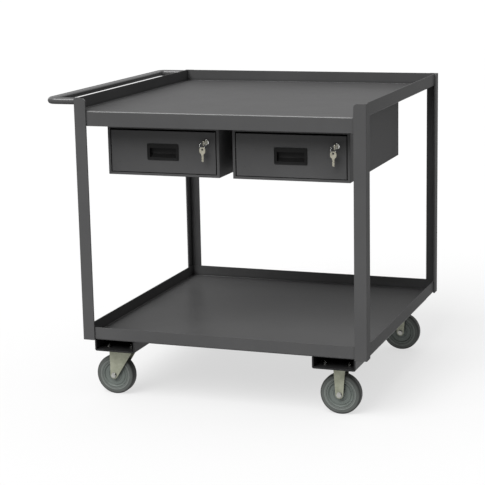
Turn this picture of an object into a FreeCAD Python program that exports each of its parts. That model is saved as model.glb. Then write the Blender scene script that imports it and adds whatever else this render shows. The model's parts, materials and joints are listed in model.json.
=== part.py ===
import FreeCAD, Part
import math
import os

import Sketcher

# Rolling steel workbench: two shelves on four angle posts, a push handle, two lockable drawers
# hung under the top shelf, two swivel casters at the handle end and two rigid casters.
# X runs from the handle end to the far end, -Y is the drawer side, Z = 0 is the floor.

SIZES = (
    # frame
    ("frame_width", 921.0), ("frame_depth", 921.0), ("handle_reach", 104.0),
    ("post_length", 760.0), ("post_flange", 38.0), ("post_wall", 4.8), ("post_corner", 12.0),
    ("post_heel", 1.5), ("post_drop", 1.0),
    ("shelf_sheet", 2.7), ("lip_height", 38.0), ("front_lip", 47.0), ("lower_lip", 40.0),
    ("bend_outer", 5.5), ("bend_inner", 2.8), ("lip_relief", 8.0),
    ("handle_tube", 21.3), ("handle_wall", 2.1), ("handle_bend", 21.0), ("handle_below_top", 0.2),
    ("channel_width", 135.0), ("channel_height", 36.0), ("channel_wall", 4.8), ("channel_inset", 104.0),
    # casters
    ("caster_height", 158.0), ("caster_setback", 86.0), ("swivel_lead", 33.0),
    ("plate_length", 114.0), ("plate_width", 102.0), ("plate_sheet", 4.0), ("plate_corner", 8.0),
    ("bolt_spacing", 76.2), ("bolt_shank", 8.0), ("bolt_hole", 8.6), ("bolt_head_height", 5.3),
    ("bolt_head_corner", 7.5), ("bolt_past_web", 11.0), ("nut_height", 6.5),
    ("wheel_diameter", 127.0), ("tread_width", 32.0), ("tread_shoulder", 6.0), ("tread_chamfer", 1.0),
    ("tread_chamfer_run", 3.0), ("rim_radius", 41.5), ("rim_width", 31.0), ("rim_wall", 4.0),
    ("rim_chamfer", 1.0), ("hub_web_width", 26.0), ("boss_radius", 14.0), ("boss_width", 40.0),
    ("boss_taper", 2.0), ("axle_radius", 6.0), ("axle_gap", 0.08), ("axle_head_corner", 10.0),
    ("axle_head_height", 7.0), ("axle_nut_height", 9.0), ("axle_past_fork", 12.0),
    ("fork_inner", 42.0), ("fork_sheet", 3.0), ("fork_top_back", 46.0), ("fork_top_front", 33.0),
    ("fork_eye", 12.0), ("rigid_top_half", 19.0), ("crown_gap", 1.5),
    ("race_radius", 34.0), ("race_height", 6.0), ("race_soft", 3.0),
    ("kingpin_radius", 5.0), ("kingpin_inset", 0.5), ("kingpin_nut", 4.0), ("kingpin_nut_height", 8.0),
    ("kingpin_tail", 2.0), ("kingpin_chamfer", 1.0),
    # drawer housings and slides
    ("housing_width", 368.0), ("housing_depth", 570.0), ("housing_drop", 203.3), ("housing_sheet", 1.5),
    ("housing_inset", 71.0), ("housing_setback", 84.0), ("jamb_width", 8.5), ("sill_height", 8.0),
    ("header_height", 59.0), ("header_return", 10.0), ("case_fold", 1.2),
    ("mount_height", 40.0), ("mount_shorter", 40.0),
    ("slide_depth", 12.7), ("slide_height", 45.0), ("slide_length", 500.0), ("slide_start", 20.0),
    ("slide_wall", 1.2), ("slide_step", 2.1), ("outer_reach", 8.5), ("middle_start", 2.5),
    ("middle_reach", 10.5), ("middle_web_start", 5.2), ("inner_start", 7.4),
    ("screw_head", 3.5), ("screw_head_height", 1.7),
    # drawers
    ("face_width", 345.0), ("face_height", 129.0), ("face_depth", 18.0), ("face_proud", 0.5),
    ("face_gap", 2.0), ("drawer_sheet", 1.2), ("box_depth", 500.0), ("box_below_face", 4.0),
    ("box_shorter", 2.0),
    ("pull_width", 103.0), ("pull_height", 50.0), ("pull_flange", 2.2), ("pull_corner", 3.0),
    ("pull_cup_width", 94.4), ("pull_cup_height", 41.4), ("pull_cup_depth", 15.0), ("pull_wall", 1.5),
    ("pull_mouth_width", 86.0), ("pull_mouth_height", 34.0), ("pull_lip", 5.0), ("pull_ramp", 10.0),
    ("pull_gap", 0.3),
    # locks and keys
    ("lock_offset", 143.0), ("lock_rise", 34.0), ("lock_head_radius", 9.5), ("lock_head_depth", 3.0),
    ("lock_head_soft", 1.2), ("lock_hole_gap", 0.1), ("barrel_radius", 8.0), ("barrel_past_nut", 0.4),
    ("lock_nut_corner", 11.5), ("lock_nut_height", 3.0), ("plug_radius", 5.5), ("plug_gap", 0.05),
    ("plug_recess", 0.4), ("cam_gap", 0.2), ("cam_length", 50.0), ("cam_width", 12.0), ("cam_sheet", 2.0),
    ("cam_stud", 3.5), ("cam_eye", 7.5), ("stud_past_cam", 1.0),
    ("bow_radius", 11.0), ("bow_sheet", 1.8), ("bow_hole", 3.5), ("bow_distance", 19.0),
    ("bow_hole_shift", 3.5), ("blade_height", 7.4), ("blade_length", 24.0), ("keyway_gap", 0.1),
    ("keyway_start", 5.0), ("notch_radius", 1.6), ("notch_start", 8.0), ("notch_pitch", 4.0),
    ("notch_rise", 0.5), ("ring_radius", 9.0), ("ring_wire", 0.6), ("ring_slack", 0.15),
)

RING_TURN = 45.0        # the ring's plane, turned about Z from the XZ plane
RING_CATCH = 40.0       # where the fixed key sits on the ring, measured from the ring's top
SPARE_TURN = 10.0       # the spare key's face, turned about Z from the drawer's face
SIDES = ((-1, "left"), (1, "right"))
ENDS = ((-1, "front"), (1, "rear"))
KEY_NOTCHES = 4
SCREW_SHARES = (0.1, 0.45, 0.8)     # where the screws stand along a slide

doc = FreeCAD.newDocument("rolling_workbench")
sheet = doc.addObject("Spreadsheet::Sheet", "Sizes")
for row, (alias, size) in enumerate(SIZES, start=1):
    sheet.set(f"A{row}", alias)
    sheet.set(f"B{row}", str(size))
    sheet.setAlias(f"B{row}", alias)
doc.recompute()


def named(alias):
    return f"Sizes.{alias}"


# Main planes of the frame, each one an expression on the sheet.
LEFT = "((Sizes.handle_reach - Sizes.frame_width) / 2)"
RIGHT = "((Sizes.handle_reach + Sizes.frame_width) / 2)"
FRONT = "(-Sizes.frame_depth / 2)"
REAR = "(Sizes.frame_depth / 2)"
LOWER_SHELF = "(Sizes.caster_height + Sizes.channel_height)"
POST_FOOT = f"({LOWER_SHELF} - Sizes.post_drop)"
POST_TOP = f"({POST_FOOT} + Sizes.post_length)"
DECK_TOP = f"({POST_TOP} - Sizes.lip_height)"
DECK_UNDER = f"({DECK_TOP} - Sizes.shelf_sheet)"
SHELF_WIDTH = "(Sizes.frame_width - 2 * Sizes.post_wall)"
SHELF_DEPTH = "(Sizes.frame_depth - 2 * Sizes.post_wall)"
SHELF_LEFT = f"({LEFT} + Sizes.post_wall)"
SHELF_FRONT = f"({FRONT} + Sizes.post_wall)"
AXLE_Z = "(Sizes.wheel_diameter / 2)"
HOUSING_FRONT = f"({FRONT} + Sizes.housing_setback)"
HOUSING_BASE = f"({DECK_UNDER} - Sizes.housing_drop)"
FACE_FRONT = f"({HOUSING_FRONT} - Sizes.face_proud)"
FACE_BASE = f"({HOUSING_BASE} + Sizes.sill_height + Sizes.face_gap)"
FACE_BACK = f"({FACE_FRONT} + Sizes.face_depth)"
BOX_BASE = f"({FACE_BASE} + Sizes.box_below_face)"
BOX_HEIGHT = "(Sizes.face_height - 2 * Sizes.box_below_face - Sizes.box_shorter)"
BOX_WIDTH = "(Sizes.housing_width - 2 * Sizes.jamb_width - 2 * Sizes.slide_depth)"
SLIDE_Z = f"({BOX_BASE} + {BOX_HEIGHT} / 2)"
SLIDE_FRONT = f"({HOUSING_FRONT} + Sizes.slide_start)"
LOCK_Z = f"({FACE_BASE} + Sizes.face_height / 2 + Sizes.lock_rise)"
PULL_Z = f"({FACE_BASE} + Sizes.face_height / 2)"
LOCK_NUT_BACK = f"({FACE_BACK} + Sizes.drawer_sheet + Sizes.lock_nut_height)"
CAM_FRONT = f"({LOCK_NUT_BACK} + Sizes.barrel_past_nut + Sizes.cam_gap)"
KEY_Y = f"({FACE_FRONT} - Sizes.bow_distance)"
THROUGH = "Sizes.frame_depth"       # longer than anything that a through cut crosses

sub_parts = []


def value(expression):
    return float(sheet.evalExpression(str(expression)))


def bind(item, properties):
    for name, expression in properties.items():
        item.setExpression(name, str(expression))
    return item


def place(item, position, turn=(0, 0, 1, 0)):
    item.Placement.Rotation = FreeCAD.Rotation(FreeCAD.Vector(*turn[:3]), turn[3])
    places = [".Placement.Base.x", ".Placement.Base.y", ".Placement.Base.z"]
    return bind(item, dict(zip(places, position)))


def block(name, size, corner):
    box = doc.addObject("Part::Box", name)
    bind(box, dict(zip(("Length", "Width", "Height"), size)))
    return place(box, corner)


def rod(name, radius, length, start, axis="z"):
    turns = {"x": (0, 1, 0, 90), "y": (1, 0, 0, -90), "z": (0, 0, 1, 0)}
    cylinder = doc.addObject("Part::Cylinder", name)
    bind(cylinder, {"Radius": radius, "Height": length})
    return place(cylinder, start, turns[axis])


def hexagon(name, corner_radius, height, start, axis="z"):
    prism = doc.addObject("Part::Prism", name)
    prism.Polygon = 6
    bind(prism, {"Circumradius": corner_radius, "Height": height})
    return place(prism, start, (1, 0, 0, -90) if axis == "y" else (0, 0, 1, 0))


def fuse(name, shapes):
    joined = doc.addObject("Part::MultiFuse", name)
    joined.Shapes = shapes
    joined.Refine = True
    return joined


def cut(name, base, tools):
    result = doc.addObject("Part::Cut", name)
    result.Base = base
    result.Tool = tools[0] if len(tools) == 1 else fuse(name + "_tools", tools)
    result.Refine = True
    return result


def group(name, shapes):
    compound = doc.addObject("Part::Compound", name)
    compound.Links = shapes
    return compound


def rounded(name, base, radius, wanted):
    """Round the edges that wanted(edge) picks; the radius is read from the sheet."""
    doc.recompute()
    size = value(radius)
    edges = [(index, size, size) for index, edge in enumerate(base.Shape.Edges, start=1) if wanted(edge)]
    fillet = doc.addObject("Part::Fillet", name)
    fillet.Base = base
    fillet.Edges = edges
    return fillet


def middle_of(edge):
    return edge.valueAt((edge.FirstParameter + edge.LastParameter) / 2)


def along(edge, axis):
    straight = edge.Curve.TypeId == "Part::GeomLine"
    return straight and near(abs(edge.tangentAt(edge.FirstParameter).dot(axis)), 1, 1e-6)


def near(first, second, tolerance=0.01):
    return abs(first - second) < tolerance


def finish(item, label):
    item.Label = label
    sub_parts.append(item)
    return item


def new_body(name):
    return doc.addObject("PartDesign::Body", name)


def new_sketch(body, name, role):
    sketch = body.newObject("Sketcher::SketchObject", name)
    plane = [feature for feature in body.Origin.OriginFeatures if feature.Role == role][0]
    sketch.AttachmentSupport = [(plane, "")]
    sketch.MapMode = "FlatFace"
    return sketch


def outline(sketch, points):
    """Closed straight-sided outline; each corner is held by two sizes from the sheet."""
    corners = [FreeCAD.Vector(value(across), value(up), 0) for across, up in points]
    first = sketch.GeometryCount
    for index, corner in enumerate(corners):
        sketch.addGeometry(Part.LineSegment(corner, corners[(index + 1) % len(corners)]), False)
    for index in range(len(points)):
        following = first + (index + 1) % len(points)
        sketch.addConstraint(Sketcher.Constraint("Coincident", first + index, 2, following, 1))
    for index, (across, up) in enumerate(points):
        for kind, expression in (("DistanceX", across), ("DistanceY", up)):
            held = Sketcher.Constraint(kind, -1, 1, first + index, 1, value(expression))
            number = sketch.addConstraint(held)
            sketch.setExpression(f"Constraints[{number}]", str(expression))


def circle(sketch, centre, radius):
    position = FreeCAD.Vector(value(centre[0]), value(centre[1]), 0)
    index = sketch.addGeometry(Part.Circle(position, FreeCAD.Vector(0, 0, 1), value(radius)), False)
    rules = [("DistanceX", centre[0]), ("DistanceY", centre[1])]
    for kind, expression in rules:
        number = sketch.addConstraint(Sketcher.Constraint(kind, -1, 1, index, 3, value(expression)))
        sketch.setExpression(f"Constraints[{number}]", str(expression))
    number = sketch.addConstraint(Sketcher.Constraint("Radius", index, value(radius)))
    sketch.setExpression(f"Constraints[{number}]", str(radius))


def turned(name, label, points, start, turn=(0, 0, 1, 0), softened=None):
    """Body turned about its own Z from (radius, height) points; softened = (radius, edge test)."""
    body = new_body(name)
    profile = new_sketch(body, name + "_profile", "XZ_Plane")
    outline(profile, points)
    revolution = body.newObject("PartDesign::Revolution", name + "_turn")
    revolution.Profile = profile
    revolution.ReferenceAxis = (profile, ["V_Axis"])
    revolution.Angle = 360
    if softened:
        soften(body, revolution, name + "_soft", softened[0], softened[1])
    place(body, start, turn)
    return finish(body, label) if label else body


def soften(body, feature, name, radius, wanted):
    doc.recompute()
    edges = [f"Edge{index}" for index, edge in enumerate(feature.Shape.Edges, start=1) if wanted(edge)]
    fillet = body.newObject("PartDesign::Fillet", name)
    fillet.Base = (feature, edges)
    bind(fillet, {"Radius": radius})
    body.Tip = fillet
    doc.recompute()
    return fillet


def pad(body, profile, name, length, symmetric=False):
    feature = body.newObject("PartDesign::Pad", name)
    feature.Profile = profile
    bind(feature, {"Length": length})
    feature.SideType = "Symmetric" if symmetric else "One side"
    body.Tip = feature
    return feature


def pocket_through(body, profile, name, length):
    feature = body.newObject("PartDesign::Pocket", name)
    feature.Profile = profile
    bind(feature, {"Length": length})
    feature.SideType = "Symmetric"
    body.Tip = feature
    return feature


X_AXIS = FreeCAD.Vector(1, 0, 0)
Y_AXIS = FreeCAD.Vector(0, 1, 0)
Z_AXIS = FreeCAD.Vector(0, 0, 1)


def top_shelf():
    tray = block("top_blank", (SHELF_WIDTH, SHELF_DEPTH, "Sizes.lip_height + Sizes.shelf_sheet"),
                 (SHELF_LEFT, SHELF_FRONT, DECK_UNDER))
    recess = block("top_recess", (f"{SHELF_WIDTH} - 2 * Sizes.shelf_sheet",
                                  f"{SHELF_DEPTH} - Sizes.shelf_sheet", "Sizes.lip_height"),
                   (f"{SHELF_LEFT} + Sizes.shelf_sheet", SHELF_FRONT, DECK_TOP))
    relief = block("top_relief", (SHELF_WIDTH, "Sizes.lip_relief", "Sizes.lip_height"),
                   (SHELF_LEFT, SHELF_FRONT, DECK_TOP))
    open_tray = cut("top_tray", tray, [recess, relief])
    front = value(SHELF_FRONT)
    top = value(DECK_TOP)
    under = value(DECK_UNDER)
    sheet_size = value(named("shelf_sheet"))

    def outer_fold(edge):
        return near(edge.BoundBox.ZMax, under) and not near(edge.BoundBox.YMax, front)

    def inner_fold(edge):
        spot = middle_of(edge)
        at_side = along(edge, Y_AXIS) and spot.y > front + value(named("lip_relief"))
        at_rear = along(edge, X_AXIS) and spot.y > 0
        return near(edge.BoundBox.ZMax, top) and (at_side or at_rear)

    outside = rounded("top_outer_bends", open_tray, named("bend_outer"), outer_fold)
    tray_folds = rounded("top_inner_bends", outside, named("bend_inner"), inner_fold)
    front_lip = block("top_front_lip", (SHELF_WIDTH, "Sizes.shelf_sheet", "Sizes.front_lip"),
                      (SHELF_LEFT, SHELF_FRONT, f"{DECK_TOP} - Sizes.front_lip"))
    folded = fuse("top_folded", [tray_folds, front_lip])

    def front_bend(edge):
        spot = middle_of(edge)
        return along(edge, X_AXIS) and near(spot.y, front) and near(spot.z, top)

    def front_root(edge):
        spot = middle_of(edge)
        return along(edge, X_AXIS) and near(spot.y, front + sheet_size) and near(spot.z, under)

    front_outside = rounded("top_front_bend", folded, named("bend_outer"), front_bend)
    finish(rounded("top_front_root", front_outside, named("bend_inner"), front_root), "top_shelf")


def lower_shelf():
    blank = block("lower_blank", (SHELF_WIDTH, SHELF_DEPTH, named("lower_lip")),
                  (SHELF_LEFT, SHELF_FRONT, LOWER_SHELF))
    recess = block("lower_recess", (f"{SHELF_WIDTH} - 2 * Sizes.shelf_sheet",
                                    f"{SHELF_DEPTH} - 2 * Sizes.shelf_sheet", "Sizes.lower_lip"),
                   (f"{SHELF_LEFT} + Sizes.shelf_sheet", f"{SHELF_FRONT} + Sizes.shelf_sheet",
                    f"{LOWER_SHELF} + Sizes.shelf_sheet"))
    tray = cut("lower_tray", blank, [recess])
    under = value(LOWER_SHELF)
    floor = under + value(named("shelf_sheet"))
    outside = rounded("lower_outer_bends", tray, named("bend_outer"),
                      lambda edge: near(edge.BoundBox.ZMax, under))
    finish(rounded("lower_inner_bends", outside, named("bend_inner"),
                   lambda edge: near(edge.BoundBox.ZMax, floor) and near(edge.BoundBox.ZMin, floor)),
           "lower_shelf")


def post(label, corner, quarter_turns):
    """Angle post: its heel stands at the frame's corner and its flanges run along the two faces."""
    body = new_body(label + "_body")
    section = new_sketch(body, label + "_section", "XY_Plane")
    outline(section, (("0", "0"), ("Sizes.post_flange", "0"), ("Sizes.post_flange", "Sizes.post_wall"),
                      ("Sizes.post_wall", "Sizes.post_wall"), ("Sizes.post_wall", "Sizes.post_flange"),
                      ("0", "Sizes.post_flange")))
    length = pad(body, section, label + "_length", named("post_length"))
    top = value(named("post_length"))
    flange = value(named("post_flange"))

    def free_corner(edge):
        spot = middle_of(edge)
        return near(spot.z, top) and (near(spot.x, flange) or near(spot.y, flange))

    corners = soften(body, length, label + "_corners", named("post_corner"), free_corner)
    soften(body, corners, label + "_heel", named("post_heel"),
           lambda edge: along(edge, Z_AXIS) and near(middle_of(edge).x, 0) and near(middle_of(edge).y, 0))
    place(body, (corner[0], corner[1], POST_FOOT), (0, 0, 1, 90 * quarter_turns))
    finish(body, label)


def push_handle():
    """Bent tube swept along its centre line: out from one left post, along the bar and back."""
    tube = "(Sizes.handle_tube / 2)"
    reach = f"(Sizes.handle_reach - {tube})"
    span = "(Sizes.frame_depth - Sizes.post_flange)"
    body = new_body("handle_body")
    path = new_sketch(body, "handle_path", "XY_Plane")
    far_x = -value(reach)
    bend = value(named("handle_bend"))
    far_y = value(span)
    upward = FreeCAD.Vector(0, 0, 1)
    corners = [(0, 0), (far_x + bend, 0), (far_x, bend), (far_x, far_y - bend), (far_x + bend, far_y),
               (0, far_y)]
    points = [FreeCAD.Vector(x, y, 0) for x, y in corners]
    near_centre = FreeCAD.Vector(far_x + bend, bend, 0)
    far_centre = FreeCAD.Vector(far_x + bend, far_y - bend, 0)
    near_bend = Part.ArcOfCircle(Part.Circle(near_centre, upward, bend), math.pi, 1.5 * math.pi)
    far_bend = Part.ArcOfCircle(Part.Circle(far_centre, upward, bend), math.pi / 2, math.pi)
    path.addGeometry(Part.LineSegment(points[0], points[1]), False)
    path.addGeometry(near_bend, False)
    path.addGeometry(Part.LineSegment(points[2], points[3]), False)
    path.addGeometry(far_bend, False)
    path.addGeometry(Part.LineSegment(points[4], points[5]), False)
    for rule in (("Tangent", 0, 2, 1, 2), ("Tangent", 1, 1, 2, 1), ("Tangent", 2, 2, 3, 2),
                 ("Tangent", 3, 1, 4, 1), ("Coincident", 0, 1, -1, 1), ("Horizontal", 0),
                 ("Vertical", 2), ("Horizontal", 4), ("PointOnObject", 4, 2, -2)):
        path.addConstraint(Sketcher.Constraint(*rule))
    sizes = ((("Radius", 1), named("handle_bend")), (("Radius", 3), named("handle_bend")),
             (("DistanceX", -1, 1, 2, 1), f"-{reach}"), (("DistanceY", -1, 1, 4, 2), span))
    for rule, expression in sizes:
        number = path.addConstraint(Sketcher.Constraint(*rule, value(expression)))
        path.setExpression(f"Constraints[{number}]", expression)
    section = new_sketch(body, "handle_section", "YZ_Plane")
    circle(section, ("0", "0"), tube)
    circle(section, ("0", "0"), f"{tube} - Sizes.handle_wall")
    doc.recompute()
    pipe = body.newObject("PartDesign::AdditivePipe", "handle_pipe")
    pipe.Profile = section
    pipe.Spine = (path, [f"Edge{number}" for number in range(1, 6)])
    body.Tip = pipe
    place(body, (LEFT, f"{FRONT} + Sizes.post_flange / 2",
                 f"{POST_TOP} - Sizes.handle_below_top - {tube}"))
    finish(body, "push_handle")


def channel_middle(side):
    return f"({LEFT} + Sizes.channel_inset)" if side < 0 else f"({RIGHT} - Sizes.channel_inset)"


def caster_middle(end):
    return f"({FRONT} + Sizes.caster_setback)" if end < 0 else f"({REAR} - Sizes.caster_setback)"


def bolt_places(side, end):
    for across in (-1, 1):
        for deep in (-1, 1):
            yield (f"({channel_middle(side)} + {across} * Sizes.bolt_spacing / 2)",
                   f"({caster_middle(end)} + {deep} * Sizes.bolt_spacing / 2)")


def caster_channel(side, side_name):
    """Channel with its web down and its flanges up against the lower shelf."""
    name = side_name + "_channel"
    start = f"({channel_middle(side)} - Sizes.channel_width / 2)"
    blank = block(name + "_blank", (named("channel_width"), SHELF_DEPTH, named("channel_height")),
                  (start, SHELF_FRONT, named("caster_height")))
    hollow = block(name + "_hollow", ("Sizes.channel_width - 2 * Sizes.channel_wall", SHELF_DEPTH,
                                      named("channel_height")),
                   (f"{start} + Sizes.channel_wall", SHELF_FRONT, "Sizes.caster_height + Sizes.channel_wall"))
    holes = []
    for end, end_name in ENDS:
        for number, (x, y) in enumerate(bolt_places(side, end)):
            holes.append(rod(f"{name}_{end_name}_hole_{number}", "Sizes.bolt_hole / 2", "Sizes.channel_wall",
                             (x, y, named("caster_height"))))
    drilled = cut(name + "_drilled", blank, [hollow] + holes)
    heel = value(named("caster_height"))
    finish(rounded(name + "_heels", drilled, named("bend_outer"),
                   lambda edge: along(edge, Y_AXIS) and near(middle_of(edge).z, heel)),
           side_name + "_caster_channel")


def caster_fasteners():
    bolts = []
    nuts = []
    plate_under = "(Sizes.caster_height - Sizes.plate_sheet)"
    web_top = "(Sizes.caster_height + Sizes.channel_wall)"
    for side, side_name in SIDES:
        for end, end_name in ENDS:
            for number, (x, y) in enumerate(bolt_places(side, end)):
                name = f"{end_name}_{side_name}_{number}"
                head = hexagon("bolt_head_" + name, named("bolt_head_corner"), named("bolt_head_height"),
                               (x, y, f"{plate_under} - Sizes.bolt_head_height"))
                shank = rod("bolt_shank_" + name, "Sizes.bolt_shank / 2",
                            "Sizes.plate_sheet + Sizes.channel_wall + Sizes.bolt_past_web",
                            (x, y, plate_under))
                bolts.append(fuse("bolt_" + name, [head, shank]))
                blank = hexagon("nut_blank_" + name, named("bolt_head_corner"), named("nut_height"),
                                (x, y, web_top))
                bore = rod("nut_bore_" + name, "Sizes.bolt_shank / 2", named("nut_height"), (x, y, web_top))
                nuts.append(cut("nut_" + name, blank, [bore]))
    finish(group("bolt_group", bolts), "caster_bolts")
    finish(group("nut_group", nuts), "caster_nuts")


def wheel(name, x, y):
    """Wheel turned about its own axis and laid along Y: a ribbed core and a bonded tread."""
    bore = "(Sizes.axle_radius + Sizes.axle_gap)"
    half_boss = "(Sizes.boss_width / 2)"
    half_web = "(Sizes.hub_web_width / 2)"
    half_rim = "(Sizes.rim_width / 2)"
    inner_rim = "(Sizes.rim_radius - Sizes.rim_wall)"
    flare = f"({inner_rim} + Sizes.rim_chamfer)"
    boss_end = "(Sizes.boss_radius - Sizes.boss_taper)"
    core = ((bore, f"-{half_boss}"), (boss_end, f"-{half_boss}"),
            ("Sizes.boss_radius", f"-{half_web}"), (inner_rim, f"-{half_web}"),
            (flare, f"-{half_rim}"), ("Sizes.rim_radius", f"-{half_rim}"),
            ("Sizes.rim_radius", half_rim), (flare, half_rim), (inner_rim, half_web),
            ("Sizes.boss_radius", half_web), (boss_end, half_boss), (bore, half_boss))
    turned(name + "_hub_body", name + "_hub", core, (x, y, AXLE_Z), (1, 0, 0, -90))
    outer = AXLE_Z
    half_tread = "(Sizes.tread_width / 2)"
    root = f"({half_tread} - Sizes.tread_chamfer)"
    flat = "(Sizes.rim_radius + Sizes.tread_chamfer_run)"
    tread = (("Sizes.rim_radius", f"-{root}"), (flat, f"-{half_tread}"), (outer, f"-{half_tread}"),
             (outer, half_tread), (flat, half_tread), ("Sizes.rim_radius", root))
    size = value(outer)
    turned(name + "_tyre_body", name + "_tyre", tread, (x, y, AXLE_Z), (1, 0, 0, -90),
           (named("tread_shoulder"), lambda edge: edge.Curve.TypeId == "Part::GeomCircle"
            and near(edge.Curve.Radius, size)))


def axle(name, x, y):
    """Axle bolt along Y with its head on the drawer side and a nut on the far side."""
    outside = "(Sizes.fork_inner / 2 + Sizes.fork_sheet)"
    corner = named("axle_head_corner")
    nut_height = named("axle_nut_height")
    shank = rod(name + "_shank", named("axle_radius"), f"2 * {outside} + Sizes.axle_past_fork",
                (x, f"{y} - {outside}", AXLE_Z), "y")
    head = hexagon(name + "_head", corner, named("axle_head_height"),
                   (x, f"{y} - {outside} - Sizes.axle_head_height", AXLE_Z), "y")
    blank = hexagon(name + "_nut_blank", corner, nut_height, (x, f"{y} + {outside}", AXLE_Z), "y")
    bore = rod(name + "_nut_bore", named("axle_radius"), nut_height, (x, f"{y} + {outside}", AXLE_Z), "y")
    bolt = fuse(name + "_bolt", [shank, head])
    finish(group(name + "_group", [bolt, cut(name + "_nut", blank, [bore])]), name)


def fork_blade(name, wheel_x, middle_x, y, top_back, top_front, crown_top):
    """Bent fork: a tapered side outline round the axle eye, with the wheel's room cut out."""
    body = new_body(name + "_blade")
    side_view = new_sketch(body, name + "_side", "XZ_Plane")
    eye = FreeCAD.Vector(value(f"{wheel_x} - {middle_x}"), value(AXLE_Z), 0)
    radius = value(named("fork_eye"))
    top_left = FreeCAD.Vector(-value(top_back), value(crown_top), 0)
    top_right = FreeCAD.Vector(value(top_front), value(crown_top), 0)
    left_touch = touch_point(top_left, eye, radius, -1)
    right_touch = touch_point(top_right, eye, radius, 1)
    start = math.atan2(left_touch.y - eye.y, left_touch.x - eye.x)
    stop = math.atan2(right_touch.y - eye.y, right_touch.x - eye.x)
    side_view.addGeometry(Part.LineSegment(top_left, left_touch), False)
    around = Part.ArcOfCircle(Part.Circle(eye, FreeCAD.Vector(0, 0, 1), radius), start, stop + 2 * math.pi)
    side_view.addGeometry(around, False)
    side_view.addGeometry(Part.LineSegment(right_touch, top_right), False)
    side_view.addGeometry(Part.LineSegment(top_right, top_left), False)
    for rule in (("Tangent", 0, 2, 1, 1), ("Tangent", 1, 2, 2, 1), ("Coincident", 2, 2, 3, 1),
                 ("Coincident", 3, 2, 0, 1)):
        side_view.addConstraint(Sketcher.Constraint(*rule))
    held = ((1, 3, f"{wheel_x} - {middle_x}", AXLE_Z), (0, 1, f"-{top_back}", crown_top),
            (3, 1, top_front, crown_top))
    for geometry, point, across, up in held:
        for kind, expression in (("DistanceX", across), ("DistanceY", up)):
            number = side_view.addConstraint(
                Sketcher.Constraint(kind, -1, 1, geometry, point, value(expression)))
            side_view.setExpression(f"Constraints[{number}]", str(expression))
    number = side_view.addConstraint(Sketcher.Constraint("Radius", 1, radius))
    side_view.setExpression(f"Constraints[{number}]", named("fork_eye"))
    pad(body, side_view, name + "_width", "Sizes.fork_inner + 2 * Sizes.fork_sheet", symmetric=True)
    room = new_sketch(body, name + "_room", "YZ_Plane")
    half = "(Sizes.fork_inner / 2)"
    roof = f"({crown_top} - Sizes.fork_sheet)"
    outline(room, ((f"-{half}", "0"), (half, "0"), (half, roof), (f"-{half}", roof)))
    pocket_through(body, room, name + "_room_cut", THROUGH)
    doc.recompute()
    outer_half = value(half) + value(named("fork_sheet"))
    crown = value(crown_top)
    soften(body, body.Tip, name + "_shoulders", named("fork_sheet"),
           lambda edge: along(edge, X_AXIS) and near(middle_of(edge).z, crown)
           and near(abs(middle_of(edge).y), outer_half))
    eye_view = new_sketch(body, name + "_eye", "XZ_Plane")
    circle(eye_view, (f"{wheel_x} - {middle_x}", AXLE_Z), named("axle_radius"))
    pocket_through(body, eye_view, name + "_eye_cut", THROUGH)
    place(body, (middle_x, y, "0"))
    return body


def touch_point(corner, centre, radius, side):
    """Where a line from the corner touches the circle, on the given side."""
    reach = corner.sub(centre)
    distance = reach.Length
    base = math.atan2(reach.y, reach.x)
    swing = math.acos(radius / distance)
    angle = base - side * swing
    return FreeCAD.Vector(centre.x + radius * math.cos(angle), centre.y + radius * math.sin(angle), 0)


def mounting_plate(name, x, y):
    blank = block(name + "_blank", (named("plate_length"), named("plate_width"), named("plate_sheet")),
                  (f"{x} - Sizes.plate_length / 2", f"{y} - Sizes.plate_width / 2",
                   "Sizes.caster_height - Sizes.plate_sheet"))
    return rounded(name + "_corners", blank, named("plate_corner"), lambda edge: along(edge, Z_AXIS))


def bolt_holes(name, side, end):
    return [rod(f"{name}_bolt_hole_{number}", "Sizes.bolt_hole / 2", named("plate_sheet"),
                (x, y, "Sizes.caster_height - Sizes.plate_sheet"))
            for number, (x, y) in enumerate(bolt_places(side, end))]


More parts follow.
